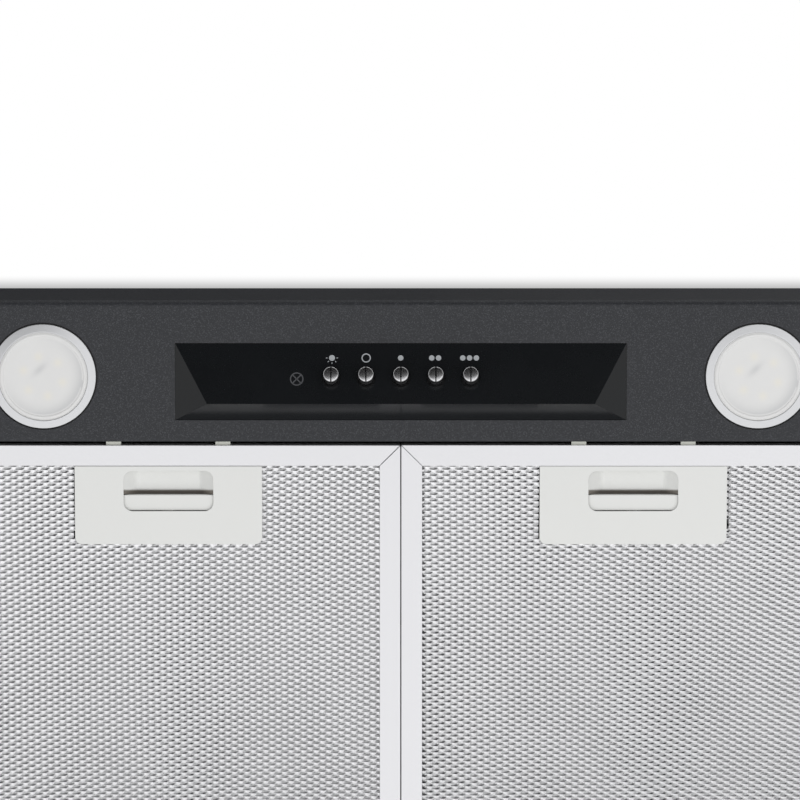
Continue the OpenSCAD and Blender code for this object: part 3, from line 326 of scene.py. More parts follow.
def cellShares(tree, scale):
    # three chance values for each small cell of the surface
    cells = addNode(tree, "TexVoronoi", {"Vector": objectPlace(tree), "Scale": scale})
    return addNode(tree, "SeparateColor", {0: cells.outputs["Color"]}).outputs


def makeSparkleGroup():
    # metallic flakes in a coat of paint
    group, come, go = groupShell("coatSparkle", {
        "Color": (0.05, 0.05, 0.05, 1), "Flake Color": (0.4, 0.4, 0.4, 1), "Flake Scale": 2200.0,
        "Flakes": 0.2}, {"Color": (0, 0, 0, 1), "Flake Mask": 0.0})
    bright = mathNode(group, "POWER", cellShares(group, come["Flake Scale"])[0], 5)
    mask = mathNode(group, "MULTIPLY", bright, come["Flakes"], True)
    group.links.new(mixColor(group, mask, come["Color"], come["Flake Color"]), go["Color"])
    group.links.new(mask, go["Flake Mask"])
    return group


def makeBrushGroup():
    # long fine strokes along X before the mapping turns them
    group, come, go = groupShell("brushStrokes", {
        "Vector": (0, 0, 0), "Color": (0.6, 0.6, 0.6, 1), "Roughness": 0.3, "Scale": 700.0,
        "Color Change": 0.08, "Roughness Change": 0.1}, variedOutputs)
    strokes = noiseNode(group, come["Vector"], come["Scale"], 4, 0.6)
    putOutVaried(group, come, go, swingNode(group, strokes), strokes)
    return group


grainGroup = makeGrainGroup()
sparkleGroup = makeSparkleGroup()
brushGroup = makeBrushGroup()


# materials

def dressShader(tree, shader, color, roughness, height, distance):
    bump = addNode(tree, "Bump", {"Distance": distance, "Height": height})
    for label, value in (("Normal", bump.outputs["Normal"]), ("Base Color", color), ("Roughness", roughness)):
        tree.links.new(value, shader.inputs[label])


def grainNode(tree, color, roughness, grain, mottle, change, roughChange):
    inputs = {"Color": color, "Roughness": roughness, "Grain Scale": grain, "Mottle Scale": mottle,
              "Color Change": change, "Roughness Change": roughChange}
    return addNode(tree, "Group", inputs, node_tree=grainGroup).outputs


def grainMaterial(name, color, roughness, grain, mottle, change, roughChange, bump, metallic=0.0, specular=0.5):
    mat, tree, shader = plainMaterial(name, metallic, specular)
    made = grainNode(tree, color, roughness, grain, mottle, change, roughChange)
    dressShader(tree, shader, made["Color"], made["Roughness"], made["Height"], bump)
    return mat


def brushedMaterial(name, color, roughness, stretch, scale, change, roughChange=0.1, bump=0.00001):
    mat, tree, shader = plainMaterial(name, 1.0)
    stretched = addNode(tree, "Mapping", {"Scale": stretch, "Vector": objectPlace(tree)})
    inputs = {"Vector": stretched.outputs["Vector"], "Color": color, "Roughness": roughness, "Scale": scale,
              "Color Change": change, "Roughness Change": roughChange}
    made = addNode(tree, "Group", inputs, node_tree=brushGroup).outputs
    dressShader(tree, shader, made["Color"], made["Roughness"], made["Height"], bump)
    return mat


coat = {
    "color": (0.0228, 0.0242, 0.0278),
    "flakeColor": (0.36, 0.37, 0.40),
    "flakeScale": 2300,
    "flakes": 0.11,
    "roughness": 0.46,
    "peelScale": 420,
    "peelDepth": 0.00002,
    "mottleScale": 7,
    "colorChange": 0.08,
    "roughChange": 0.05,
}
zinc = {
    "flowerScale": 130,
    "flowerShade": (0.8, 1.08),    # darkest and brightest crystal
    "flowerRough": (-0.08, 0.08),
    "grain": (700, 12, 0.06, 0.08),
    "bump": 0.00001,
}


def makeCoat():
    # charcoal powder coat: sparkling flakes, a little orange peel and a slow change of tone
    mat, tree, shader = plainMaterial("charcoalCoat", 0.0, 0.26)
    grain = grainNode(tree, coat["color"], coat["roughness"], coat["peelScale"], coat["mottleScale"],
                      coat["colorChange"], coat["roughChange"])
    inputs = {"Color": grain["Color"], "Flake Color": coat["flakeColor"], "Flake Scale": coat["flakeScale"],
              "Flakes": coat["flakes"]}
    flakes = addNode(tree, "Group", inputs, node_tree=sparkleGroup).outputs
    dressShader(tree, shader, flakes["Color"], grain["Roughness"], grain["Height"], coat["peelDepth"])
    return mat


def makeZinc(name, color, roughness):
    # galvanised sheet with its crystal flowers
    mat, tree, shader = plainMaterial(name, 0.9)
    parts = cellShares(tree, zinc["flowerScale"])
    grain = grainNode(tree, color, roughness, *zinc["grain"])
    shade = rangeNode(tree, parts[0], 0, 1, *zinc["flowerShade"])
    tone = addNode(tree, "HueSaturation", {"Color": grain["Color"], "Value": shade}).outputs["Color"]
    unevenness = rangeNode(tree, parts[1], 0, 1, *zinc["flowerRough"])
    rough = mathNode(tree, "ADD", grain["Roughness"], unevenness, True)
    dressShader(tree, shader, tone, rough, grain["Height"], zinc["bump"])
    return mat


# name, colour, roughness, scales of grain and mottle, changes of colour and roughness, bump,
# and where they matter metallic and specular
grainFinishes = {
    "darkBolt": ("blackZinc", (0.03, 0.03, 0.033), 0.4, 2200, 60, 0.2, 0.1, 0.00001, 0.6),
    "whitePlastic": ("greyWhiteMoulding", (0.60, 0.61, 0.61), 0.5, 1400, 14, 0.04, 0.06, 0.00003),
    "greyPlastic": ("darkGreyMoulding", (0.085, 0.09, 0.095), 0.5, 1400, 14, 0.08, 0.06, 0.00003),
    "blackPlastic": ("blackMoulding", (0.018, 0.018, 0.02), 0.5, 1600, 20, 0.1, 0.08, 0.00003),
    "gloss": ("glossBlackMoulding", (0.0072, 0.0082, 0.0094), 0.19, 260, 30, 0.1, 0.03, 0.000001, 0, 0.30),
    "ring": ("satinRingMetal", (0.535, 0.54, 0.55), 0.34, 2600, 24, 0.03, 0.04, 0.000004, 0.75),
    # near black: a black coated can, and painted shade in the gap round each lamp ring where the can shows
    "canAndGapShade": ("blackLampCanAndGapShade", (0.006, 0.006, 0.0065), 0.65, 900, 30, 0.15, 0.08, 0.00001),
    "board": ("whiteBoard", (0.74, 0.75, 0.71), 0.4, 900, 40, 0.04, 0.05, 0.00001),
    "rail": ("satinRailAluminium", (0.665, 0.665, 0.68), 0.42, 1500, 6, 0.015, 0.03, 0.000004, 0.55),
    "strand": ("brightStrandAluminium", (0.81, 0.81, 0.82), 0.31, 1100, 40, 0.04, 0.06, 0.000006, 0.9),
    # the same aluminium for the deeper layers, made less metallic so that they look lighter in their shade:
    # painted light
    "strandDeep": ("shadedStrandAluminium", (0.83, 0.83, 0.84), 0.42, 1100, 40, 0.04, 0.06, 0.000006, 0.5),
    "handle": ("warmWhiteMoulding", (0.74, 0.745, 0.725), 0.42, 2600, 16, 0.02, 0.05, 0.00001),
    "tongue": ("warmGreyMoulding", (0.66, 0.67, 0.61), 0.45, 2600, 16, 0.04, 0.05, 0.00001),
    "wire": ("wireJacket", (0.018, 0.018, 0.02), 0.45, 1200, 40, 0.1, 0.08, 0.00002),
    "barrel": ("blackBarrel", (0.010, 0.010, 0.011), 0.22, 2600, 60, 0.1, 0.05, 0.000001, 0, 0.6),
    "printLight": ("lightGreyPrint", (0.43, 0.45, 0.47), 0.5, 3000, 40, 0.05, 0.04, 0.000001),
    "printDim": ("dimGreyPrint", (0.06, 0.062, 0.068), 0.5, 3000, 300, 0.2, 0.04, 0.000001),
}
# name, colour, roughness, stretch and scale of the strokes, changes of colour and roughness, bump
brushedFinishes = {
    "bolt": ("brightZinc", (0.62, 0.62, 0.61), 0.3, (1, 1, 1), 1500, 0.06),
    "motorSteel": ("pressedMotorSteel", (0.36, 0.37, 0.38), 0.36, (1, 0.1, 0.1), 900, 0.1),
    "shaftSteel": ("groundShaftSteel", (0.62, 0.62, 0.63), 0.2, (1, 0.05, 0.05), 1500, 0.06),
    "button": ("darkCapChrome", (0.52, 0.52, 0.53), 0.21, (1, 0.06, 1), 1300, 0.05, 0.03, 0.0000002),
}
paint = {"coat": makeCoat(), "zinc": makeZinc("galvanisedSheet", (0.58, 0.59, 0.60), 0.38)}
paint.update((key, grainMaterial(*values)) for key, values in grainFinishes.items())
paint.update((key, brushedMaterial(*values)) for key, values in brushedFinishes.items())


nodeFinishes = {
    "coat": ("canopy_base", "canopy_pyramid", "chimney_lower", "chimney_upper"),
    "zinc": ("back_panel", "top_plate", "wall_bracket_left", "wall_bracket_right", "ceiling_bracket",
             "motor_bracket", "inlet_guard"),
    "darkBolt": ("chimney_screws", "ceiling_screws", "blower_screws"),
    "bolt": ("canopy_rivets", "fascia_fixings", "damper_pin"),
    "whitePlastic": ("blower_casing_left", "blower_casing_right", "outlet_collar", "capacitor"),
    "greyPlastic": ("impeller", "damper_flap_front", "damper_flap_rear"),
    "blackPlastic": ("switch_block", "terminal_box", "terminal_lid", "cable_gland"),
    "motorSteel": ("motor",),
    "shaftSteel": ("motor_shaft",),
    "wire": ("wiring",),
    "gloss": ("control_fascia",),
    "ring": ("button_light", "button_off", "button_speed_1", "button_speed_2", "button_speed_3"),
}
pairFinishes = {
    "lamp_ring": "ring", "lamp_lens": "board", "lamp_can": "canAndGapShade", "lamp_board": "board",
    "lamp_nuts": "bolt", "filter_frame": "rail", "filter_mesh": "strand", "filter_handle": "handle",
    "filter_tabs": "bolt", "latch_slider": "tongue", "latch_spring": "bolt",
}


def wear(name, materialName):
    mesh = nodes[name].data
    mesh.materials.clear()
    mesh.materials.append(paint[materialName])


for materialName, names in nodeFinishes.items():
    for name in names:
        wear(name, materialName)
for stem, materialName in pairFinishes.items():
    for sideName in sideSign:
        wear(stem + "_" + sideName, materialName)
print("finishes made and put on the nodes")


# making pieces

def cadCopy(name):
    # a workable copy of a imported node: joined triangles, flat faces made whole
    bm = bmesh.new()
    bm.from_mesh(nodes[name].data)
    bmesh.ops.remove_doubles(bm, verts=bm.verts, dist=0.000003)
    if name != "canopy_pyramid":  # its triangles only bevel cleanly when kept
        bmesh.ops.dissolve_limit(bm, angle_limit=math.radians(0.3), verts=bm.verts, edges=bm.edges)
    return bm


def sharpEdges(bm, fromAngle=30):
    limit = math.radians(fromAngle)
    return [edge for edge in bm.edges if edge.is_manifold and edge.calc_face_angle(0) > limit]


def roundEdges(bm, edges, width, segments=2):
    bmesh.ops.bevel(bm, geom=edges, offset=width, offset_type="OFFSET", affect="EDGES", segments=segments,
                    profile=0.5, material=-1, clamp_overlap=True)


def makePiece(bm, name, body, materialName, replaces=(), smooth=35, flatten=True):
    bm.normal_update()
    mesh = bpy.data.meshes.new(name)
    bm.to_mesh(mesh)
    bm.free()
    mesh.shade_smooth()
    mesh.set_sharp_from_angle(angle=math.radians(smooth))
    mesh.materials.append(paint[materialName])
    obj = bpy.data.objects.new(name, mesh)
    bpy.context.scene.collection.objects.link(obj)
    if flatten:
        obj.modifiers.new("flatFaces", "WEIGHTED_NORMAL").keep_sharp = True
    if replaces:
        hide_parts(*replaces)
    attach(obj, body)
    return obj


def softenedNode(name, width, segments=2, fromAngle=30):
    # stands for a node with its edges broken as the real piece's are
    bm = cadCopy(name)
    roundEdges(bm, sharpEdges(bm, fromAngle), width, segments)
    keys = {mat.name: key for key, mat in paint.items()}
    materialName = keys[nodes[name].data.materials[0].name]
    return makePiece(bm, name + "_formed", nodes[name]["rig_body"], materialName, (name,))


def moveBy(bm, vec, verts=None):
    bmesh.ops.translate(bm, verts=verts or bm.verts, vec=vec)


def turnBy(bm, angle, axis, verts=None, cent=(0, 0, 0)):
    bmesh.ops.rotate(bm, verts=verts or bm.verts, cent=cent, matrix=Matrix.Rotation(angle, 3, axis))


def boxMesh(bm, low, high):
    made = bmesh.ops.create_cube(bm, size=1)["verts"]
    bmesh.ops.scale(bm, verts=made, vec=Vector(high) - Vector(low))
    moveBy(bm, (Vector(high) + Vector(low)) / 2, made)
    return made


def spinProfile(bm, profile, steps):
    # profile points are (radius, height); the first and last may lie on the axis
    before = set(bm.verts)
    verts = [bm.verts.new((radius, 0, height)) for radius, height in profile]
    edges = [bm.edges.new(pair) for pair in zip(verts, verts[1:])]
    bmesh.ops.spin(bm, geom=verts + edges, cent=(0, 0, 0), axis=(0, 0, 1), angle=2 * math.pi, steps=steps,
                   use_merge=True, use_duplicate=False)
    made = [v for v in bm.verts if v not in before]
    bmesh.ops.remove_doubles(bm, verts=made, dist=0.0000005)
    return [v for v in bm.verts if v not in before]


def closeEnds(bm, *loops):
    for loop in loops:
        bmesh.ops.contextual_create(bm, geom=loop)


def turnOut(bm):
    bmesh.ops.recalc_face_normals(bm, faces=bm.faces)


def joinIn(bm, extra):
    # adds another form's faces and frees it
    turnOut(extra)
    part = bpy.data.meshes.new("part")
    extra.to_mesh(part)
    extra.free()
    bm.from_mesh(part)
    bpy.data.meshes.remove(part)


def extrudeOn(bm, edges):
    # the next ring of a tube: its vertices and edges
    made = bmesh.ops.extrude_edge_only(bm, edges=edges)["geom"]
    verts = [g for g in made if isinstance(g, bmesh.types.BMVert)]
    return verts, [g for g in made if isinstance(g, bmesh.types.BMEdge) and all(v in verts for v in g.verts)]


# grease filters

filterForm = {
    "width": 0.2675,
    "depth": 0.3055,
    "halfGapX": 0.13405,   # from the hood's middle to a filter's middle
    "frontEdge": -0.391,
    "railRound": 0.0006,
    "tabRound": 0.0002,
}
strands = {
    "pitch": 0.00185,        # between neighbouring strands, which run along X
    "halfWave": 0.00368,     # from one bond to the next along a strand
    "swing": 0.00035,        # how far a strand swings to each side
    "bondHalf": 0.00104,
    "thick": 0.00016,
    "halfX": 0.1262,
    "startY": 0.0030,
    "endY": 0.3030,
    "wobble": 0.00022,
    "wobbleX": (31, 47),     # radians per metre along X and Y
    "wobbleY": (63, -22),
    "edgeRoom": 0.0014,      # stays free inside the frame's outer faces
    "layers": (
        # height, turn, shift along X and Y, width, bond tilt, web tilt, web points, finish
        (0.0014, -0.37, 0.0, 0.0, 0.00136, 27, 9, 1, "strand"),
        (0.0022, -0.25, 0.0018, 0.0008, 0.00140, 17, 5, 0, "strandDeep"),
        (0.0035, 1.2, 0.0009, 0.0004, 0.00140, 14, 7, 0, "strandDeep"),
        (0.0075, 0.2, 0.0006, 0.0011, 0.00125, -30, -10, 0, "strand"),
    ),
    "handleHalfX": 0.0545,
    "handleEndY": 0.0585,
    "handleCorner": 0.0048,
}


def filterCorner(side):
    # the middle of a filter's front edge
    return side * filterForm["halfGapX"], filterForm["frontEdge"], underside


def webStations(count, webPoints, bondTilt):
    # places along a strand: the two ends of each bond and the points of the slope between bonds
    # a bond's two halves meet when each strand rises or sinks by this much
    rise = (strands["pitch"] / 2 - strands["swing"]) * math.tan(math.radians(bondTilt))
    found = []
    for k in range(-count, count + 1):
        middle = k * strands["halfWave"]
        sway = strands["swing"] * (1 if k % 2 else -1)
        lift = rise if sway < 0 else -rise
        found.append((middle - strands["bondHalf"], sway, lift, 0))
        found.append((middle + strands["bondHalf"], sway, lift, 0))
        for j in range(webPoints if k < count else 0):
            share = (j + 1) / (webPoints + 1)
            gap, back = strands["halfWave"] - 2 * strands["bondHalf"], 1 - 2 * share
            found.append((middle + strands["bondHalf"] + share * gap, sway * back, lift * back, 1))
    return found


def oneStrand(bm, layer):
    # a thin three-sided strip along X whose flat side faces down
    width, bondTilt, webTilt, webPoints = layer[4:8]
    half, thick = width / 2, strands["thick"]
    stations = webStations(int(strands["halfX"] / strands["halfWave"]), webPoints, bondTilt)
    corners = [bm.verts.new((stations[0][0], y, z)) for y, z in ((-half, 0), (half, 0), (0, thick))]
    edges = [bm.edges.new((corners[i], corners[(i + 1) % 3])) for i in range(3)]
    first = list(edges)
    lean = math.radians(bondTilt)
    place = Vector((stations[0][0], 0, 0))
    turnBy(bm, lean, "X", corners, place)
    moveBy(bm, (0, *stations[0][1:3]), corners)
    place.y, place.z = stations[0][1:3]
    for x, y, z, web in stations[1:]:
        verts, edges = extrudeOn(bm, edges)
        newLean = math.radians(webTilt if web else bondTilt)
        if newLean != lean:
            turnBy(bm, newLean - lean, "X", verts, place)
        moveBy(bm, (x - place.x, y - place.y, z - place.z), verts)
        place, lean = Vector((x, y, z)), newLean
    closeEnds(bm, first, edges)
    turnOut(bm)


def strandLayer(side, layer):
    height, turn, shiftX, shiftY = layer[:4]
    bm = bmesh.new()
    oneStrand(bm, layer)
    base = list(bm.verts) + list(bm.edges) + list(bm.faces)
    moveBy(bm, (shiftX, strands["startY"] + shiftY, height))
    rows = int((strands["endY"] - strands["startY"] - shiftY) / strands["pitch"])
    for k in range(1, rows):
        copied = bmesh.ops.duplicate(bm, geom=base)["geom"]
        verts = [g for g in copied if isinstance(g, bmesh.types.BMVert)]
        aside = strands["halfWave"] if k % 2 else 0
        moveBy(bm, (aside, k * strands["pitch"], 0), verts)
    turnBy(bm, math.radians(turn), "Z", None, (0, filterForm["depth"] / 2, 0))
    # the sheets aren't quite even, as stretched metal never is
    for vert in bm.verts:
        x, y = vert.co.x, vert.co.y
        waveX, waveY = [perX * x + perY * y for perX, perY in (strands["wobbleX"], strands["wobbleY"])]
        vert.co.x += strands["wobble"] * math.sin(waveX + side)
        vert.co.y += strands["wobble"] * math.sin(waveY)
    # room for the handle and the rails
    gone = []
    for face in bm.faces:
        at = face.calc_center_median()
        besideX = abs(at.x) - strands["handleHalfX"]
        besideY = at.y - strands["handleEndY"]
        corner = strands["handleCorner"]
        outside = min(besideX, besideY) > -corner and math.hypot(besideX + corner, besideY + corner) > corner
        if besideX < 0 and besideY < 0 and not outside:
            gone.append(face)
    bmesh.ops.delete(bm, geom=gone, context="FACES")
    free = strands["edgeRoom"]
    limitX = filterForm["width"] / 2 - free
    for vert in bm.verts:
        vert.co.x = min(max(vert.co.x, -limitX), limitX)
        vert.co.y = min(max(vert.co.y, free), filterForm["depth"] - free)
    bmesh.ops.holes_fill(bm, edges=[e for e in bm.edges if e.is_boundary], sides=8)
    moveBy(bm, filterCorner(side))
    return bm


def makeFilter(sideName):
    body = "filter_" + sideName
    softenedNode("filter_frame_" + sideName, filterForm["railRound"], 3, 40)
    for number, layer in enumerate(strands["layers"], 1):
        bm = strandLayer(sideSign[sideName], layer)
        replaced = ("filter_mesh_" + sideName,) if number == 1 else ()
        makePiece(bm, "%s_strands_%d" % (body, number), body, layer[-1], replaced, 50, False)
    softenedNode("filter_tabs_" + sideName, filterForm["tabRound"], 1)


for sideName in sideSign:
    makeFilter(sideName)
print("filters made")


# handles and latches, measured from the middle of a filter's front edge

handle = {
    "halfX": 0.0540, "frontY": 0.01225, "rearY": 0.0580, "corner": 0.0040, "high": 0.0082, "wall": 0.0015,
    "edgeRound": 0.00028,
    "pocketHalfX": 0.0259, "pocketY": 0.0149, "pocketEndY": 0.0386, "pocketCorner": 0.0050,
    "scoopHigh": 0.0065, "scoopLip": 0.0004, "ramp": 0.0086, "skin": 0.0009,
    "flatX": (-0.012, -0.006, 0, 0.006, 0.012),
    # how far up the scoop's end ramps, as shares of length and height
    "rampShares": ((0, 0), (0.1, 0.115), (0.3, 0.345), (0.5, 0.575), (0.7, 0.8), (0.85, 0.93),
                   (0.95, 0.985), (1.04, 1)),
    # rows of the scoop's floor from the front: place along Y, share of its height, extra rise
    "floorRows": ((-0.0003, 0.2, 0), (-0.0003, 0.72, 0), (0.0000, 0.92, 0), (0.0008, 1, 0), (0.0055, 1, 0),
                  (0.0106, 1, 0), (0.0117, 1, 0.00006), (0.0123, 1, 0.0003), (0.0129, 1, 0.0008),
                  (0.0140, 1, 0.0012), (0.0150, 1, 0.0013)),
    "early": 0.0011,          # the low ends of the floor roll away this much sooner
    "paintedShadeRise": 0.0008,      # rise at which the painted shade is full
    # painted shade colour for the gap behind the bar
    "paintedShadeColor": (0.16, 0.145, 0.125),
}
latch = {
    "barHalfX": 0.0256, "barY": 0.0293, "barEndY": 0.0383, "corner": 0.0047, "low": 0.0017, "high": 0.0047,
    "armX": 0.0315, "armHalf": 0.0030, "tongueHalf": 0.00435, "tongueOut": 0.0020, "tongueIn": 0.0030,
    "springRadius": 0.0020, "springWire": 0.0004, "springTurns": 11, "springY": 0.0383, "springEndY": 0.0565,
    "springZ": 0.0042, "springKeep": 0.615, "springSteps": 18,
    "overlap": 0.0001, "barJoin": 0.001, "edgeRound": 0.0003,
    "legHalfX": 0.004, "legDeep": 0.003, "legHigh": 0.0066,
}


def roundLoop(lowX, lowY, highX, highY, radii, steps=6):
    # counterclockwise outline whose corners start at the low X, low Y one
    points = []
    corners = ((lowX, lowY, 180), (highX, lowY, 270), (highX, highY, 0), (lowX, highY, 90))
    for (x, y, start), radius in zip(corners, radii):
        centreX = x + radius if x == lowX else x - radius
        centreY = y + radius if y == lowY else y - radius
        for k in range(steps + 1 if radius > 0 else 1):
            angle = math.radians(start + 90 * k / steps)
            points.append((centreX + radius * math.cos(angle), centreY + radius * math.sin(angle)))
    return points


def slab(bm, loops, low, high):
    # a closed plate with the first loop as its outline and the others as its holes
    rims = []
    for z in (low, high):
        edges = []
        sides = []
        for loop in loops:
            ring = [bm.verts.new((x, y, z)) for x, y in loop]
            own = [bm.edges.new((ring[i], ring[(i + 1) % len(ring)])) for i in range(len(ring))]
            edges += own
            sides.append(own)
        if len(loops) == 1:
            closeEnds(bm, edges)
        else:
            bmesh.ops.triangle_fill(bm, use_beauty=True, use_dissolve=False, edges=edges)
        rims.append(sides)
    for below, above in zip(*rims):
        bmesh.ops.bridge_loops(bm, edges=below + above)
    return rims[0]


def atFilter(bm, side):
    turnOut(bm)
    moveBy(bm, filterCorner(side))


def scoopStations():
    shares, half = handle["rampShares"], handle["pocketHalfX"]
    found = [(-half + share * handle["ramp"], lift) for share, lift in shares]
    found += [(x, 1) for x in handle["flatX"]]
    found += [(half - share * handle["ramp"], lift) for share, lift in reversed(shares)]
    return found


def makeScoop(bm):
    # a thin pan with sloping ends, whose floor rolls away into the gap in front of the bar
    start, rows = handle["pocketY"], handle["floorRows"]
    paintedShadeLayer = bm.verts.layers.float.new("shade")
    grid = []
    for x, lift in scoopStations():
        high = handle["scoopLip"] + (handle["scoopHigh"] - handle["scoopLip"]) * lift
        early = handle["early"] * (1 - lift)  # keeps the gap line straight as seen from the front
        grid.append([bm.verts.new((x, start + y - (early if rise else 0), high * share + rise))
                     for y, share, rise in rows])
        for vert, (y, share, rise) in zip(grid[-1], rows):
            # painted shade, full where the floor has risen far enough behind the bar
            vert[paintedShadeLayer] = min(rise / handle["paintedShadeRise"], 1)
    faces = []
    for near, far in zip(grid, grid[1:]):
        for j in range(len(rows) - 1):
            faces.append(bm.faces.new((near[j], far[j], far[j + 1], near[j + 1])))
    bmesh.ops.recalc_face_normals(bm, faces=faces)
    if sum(face.normal.z * face.calc_area() for face in faces) > 0:
        bmesh.ops.reverse_faces(bm, faces=faces)
    bmesh.ops.solidify(bm, geom=faces, thickness=handle["skin"])


def makeHandle(sideName):
    side = sideSign[sideName]
    outer = roundLoop(-handle["halfX"], handle["frontY"], handle["halfX"], handle["rearY"],
                      (0, 0, handle["corner"], handle["corner"]))
    inset = handle["wall"]
    inner = roundLoop(-handle["halfX"] + inset, handle["frontY"] + inset, handle["halfX"] - inset,
                      handle["rearY"] - inset, (0, 0, handle["corner"] - inset, handle["corner"] - inset))
    corner = handle["pocketCorner"]
    pocket = roundLoop(-handle["pocketHalfX"], handle["pocketY"], handle["pocketHalfX"], handle["pocketEndY"],
                       (corner, corner, corner, corner), 8)
    bm = bmesh.new()
    seen = slab(bm, [outer, pocket], 0, handle["wall"])
    roundEdges(bm, [edge for rim in seen for edge in rim], handle["edgeRound"], 2)
    slab(bm, [outer, inner], handle["wall"] - latch["overlap"], handle["high"])
    makeScoop(bm)
    atFilter(bm, side)
    name = "filter_handle_" + sideName
    makePiece(bm, name + "_moulded", "filter_" + sideName, "handle", (name,), 20)


def makeLatch(sideName):
    side = sideSign[sideName]
    name = "latch_slider_" + sideName
    bm = bmesh.new()
    bar = roundLoop(-latch["barHalfX"], latch["barY"], latch["barHalfX"], latch["barEndY"],
                    (0.0003, 0.0003, latch["corner"], latch["corner"]), 6)
    seen = slab(bm, [bar], latch["low"], latch["high"])
    roundEdges(bm, seen[0], latch["edgeRound"], 2)
    over, low, high = latch["overlap"], latch["low"] + latch["overlap"], latch["high"]
    reach = latch["armX"] + latch["armHalf"]
    boxMesh(bm, (-reach, latch["barY"] + over, low), (reach, latch["barEndY"] - over, high))
    legX = latch["legHalfX"]
    boxMesh(bm, (-legX, latch["barEndY"] - latch["legDeep"], low), (legX, latch["barEndY"], latch["legHigh"]))
    tongues = bmesh.new()
    for arm in (-1, 1):
        centre = arm * latch["armX"]
        boxMesh(bm, (centre - latch["armHalf"], latch["tongueIn"] - 2 * over, low),
                (centre + latch["armHalf"], latch["barY"] + latch["barJoin"], high))
        boxMesh(tongues, (centre - latch["tongueHalf"], -latch["tongueOut"], low),
                (centre + latch["tongueHalf"], latch["tongueIn"], high + over))
    roundEdges(tongues, list(tongues.edges), latch["edgeRound"], 2)
    atFilter(bm, side)
    makePiece(bm, name + "_moulded", "latch_" + sideName, "handle", (name,), 20)
    atFilter(tongues, side)
    makePiece(tongues, name + "_tongues", "latch_" + sideName, "tongue", ())


def makeLatchSpring(sideName):
    # a wound spring along Y with its end turns closed up
    side = sideSign[sideName]
    bm = bmesh.new()
    wire, radius = latch["springWire"], latch["springRadius"]
    bmesh.ops.create_circle(bm, segments=8, radius=wire, cap_ends=False)
    moveBy(bm, (radius, 0, 0))
    edges = list(bm.edges)
    first = list(edges)
    steps = latch["springSteps"]
    total = latch["springTurns"] * steps
    length = latch["springEndY"] - latch["springY"] - 2 * wire

    def along(k):
        turn = k / steps
        closed = 2 * wire
        last = latch["springTurns"] - 1
        if turn < 1:
            return closed * turn
        if turn > last:
            return length - closed * (latch["springTurns"] - turn)
        return closed + (length - 2 * closed) * (turn - 1) / (last - 1)

    for k in range(1, total + 1):
        verts, edges = extrudeOn(bm, edges)
        turnBy(bm, 2 * math.pi / steps, "Y", verts)
        moveBy(bm, (0, along(k) - along(k - 1), 0), verts)
    closeEnds(bm, first, edges)
    turnOut(bm)
    moveBy(bm, (0, latch["springY"] + wire, latch["springZ"]))
    atFilter(bm, side)
    name = "latch_spring_" + sideName
    piece = makePiece(bm, name + "_wound", "filter_" + sideName, "bolt", (name,), 60, False)
    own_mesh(piece)


def paintShadeOnHandle():
    # painted shade: the scoop's colour darkens where its floor rolls away behind the bar, standing in for the
    # shade in that gap
    mat = paint["handle"]
    tree = mat.node_tree
    shader = tree.nodes["Principled BSDF"]
    plain = shader.inputs["Base Color"].links[0].from_socket
    shade = addNode(tree, "Attribute", attribute_name="shade").outputs["Fac"]
    shaded = mixColor(tree, shade, plain, handle["paintedShadeColor"])
    tree.links.new(shaded, shader.inputs["Base Color"])


paintShadeOnHandle()
for sideName in sideSign:
    makeHandle(sideName)
    makeLatch(sideName)
    makeLatchSpring(sideName)
print("handles and latches made")


# controls

controls = {
    "tilt": math.atan2(13, 33),
    "holeFromFront": 0.0438,   # from the hood's front to the buttons' holes
    "holeDown": 0.0188,        # from the fascia's front edge to the holes
    "pitch": 0.020,
    "edgeRound": 0.00035,
    "capRadius": 0.0045,
    "capOut": 0.011,
    "stemRadius": 0.003,
    "stemLength": 0.016,
    "grooveHalf": 0.00038,
    "capHigh": 0.0016,          # of the chromed top
    # rims as inset from the radius and height over the lip, or depth under the top
    "barrelRim": ((0.00025, 0), (0.00006, 0.0001), (0, 0.00035)),
    "barrelLine": ((0, 0.0047), (0.00012, 0.0046), (0.00012, 0.0044), (0, 0.0043)),
    "capRim": ((0.00006, 0.0008), (0.00016, 0.0005), (0.0004, 0.00027), (0.0009, 0.00013), (0.0027, 0.00004)),
    "capInset": 0.00006,
    "capSink": 0.0001,
}
symbols = {
    "thick": 0.00003,
    "up": -0.01177,            # along the face from the holes to the symbols
    "sunX": -0.0395, "sunRadius": 0.00172,
    "rays": (0, 45, 90, 135, 180), "rayAt": 0.0030, "ray": (0.0009, 0.00042),
    "ringX": -0.0199, "ringRadii": (0.00268, 0.00206),
    "dotX": (-0.0001, 0.0177, 0.0216, 0.0355, 0.0394, 0.0433), "dotRadius": 0.00158,
    "markAt": (-0.0597, 0.0006), "markRadii": (0.0039, 0.0032),
    "markBars": (45, 135), "markBar": (0.0066, 0.0007),
}
buttonNames = ("button_light", "button_off", "button_speed_1", "button_speed_2", "button_speed_3")


def facePlace(x=0.0, y=0.0):
    # a place on the button face, with Z along the buttons' inward travel
    start = Matrix.Translation((0, frontFace + controls["holeFromFront"],
                                underside - controls["holeDown"] * math.tan(controls["tilt"])))
    return start @ Matrix.Rotation(-controls["tilt"], 4, "X") @ Matrix.Translation((x, y, 0))


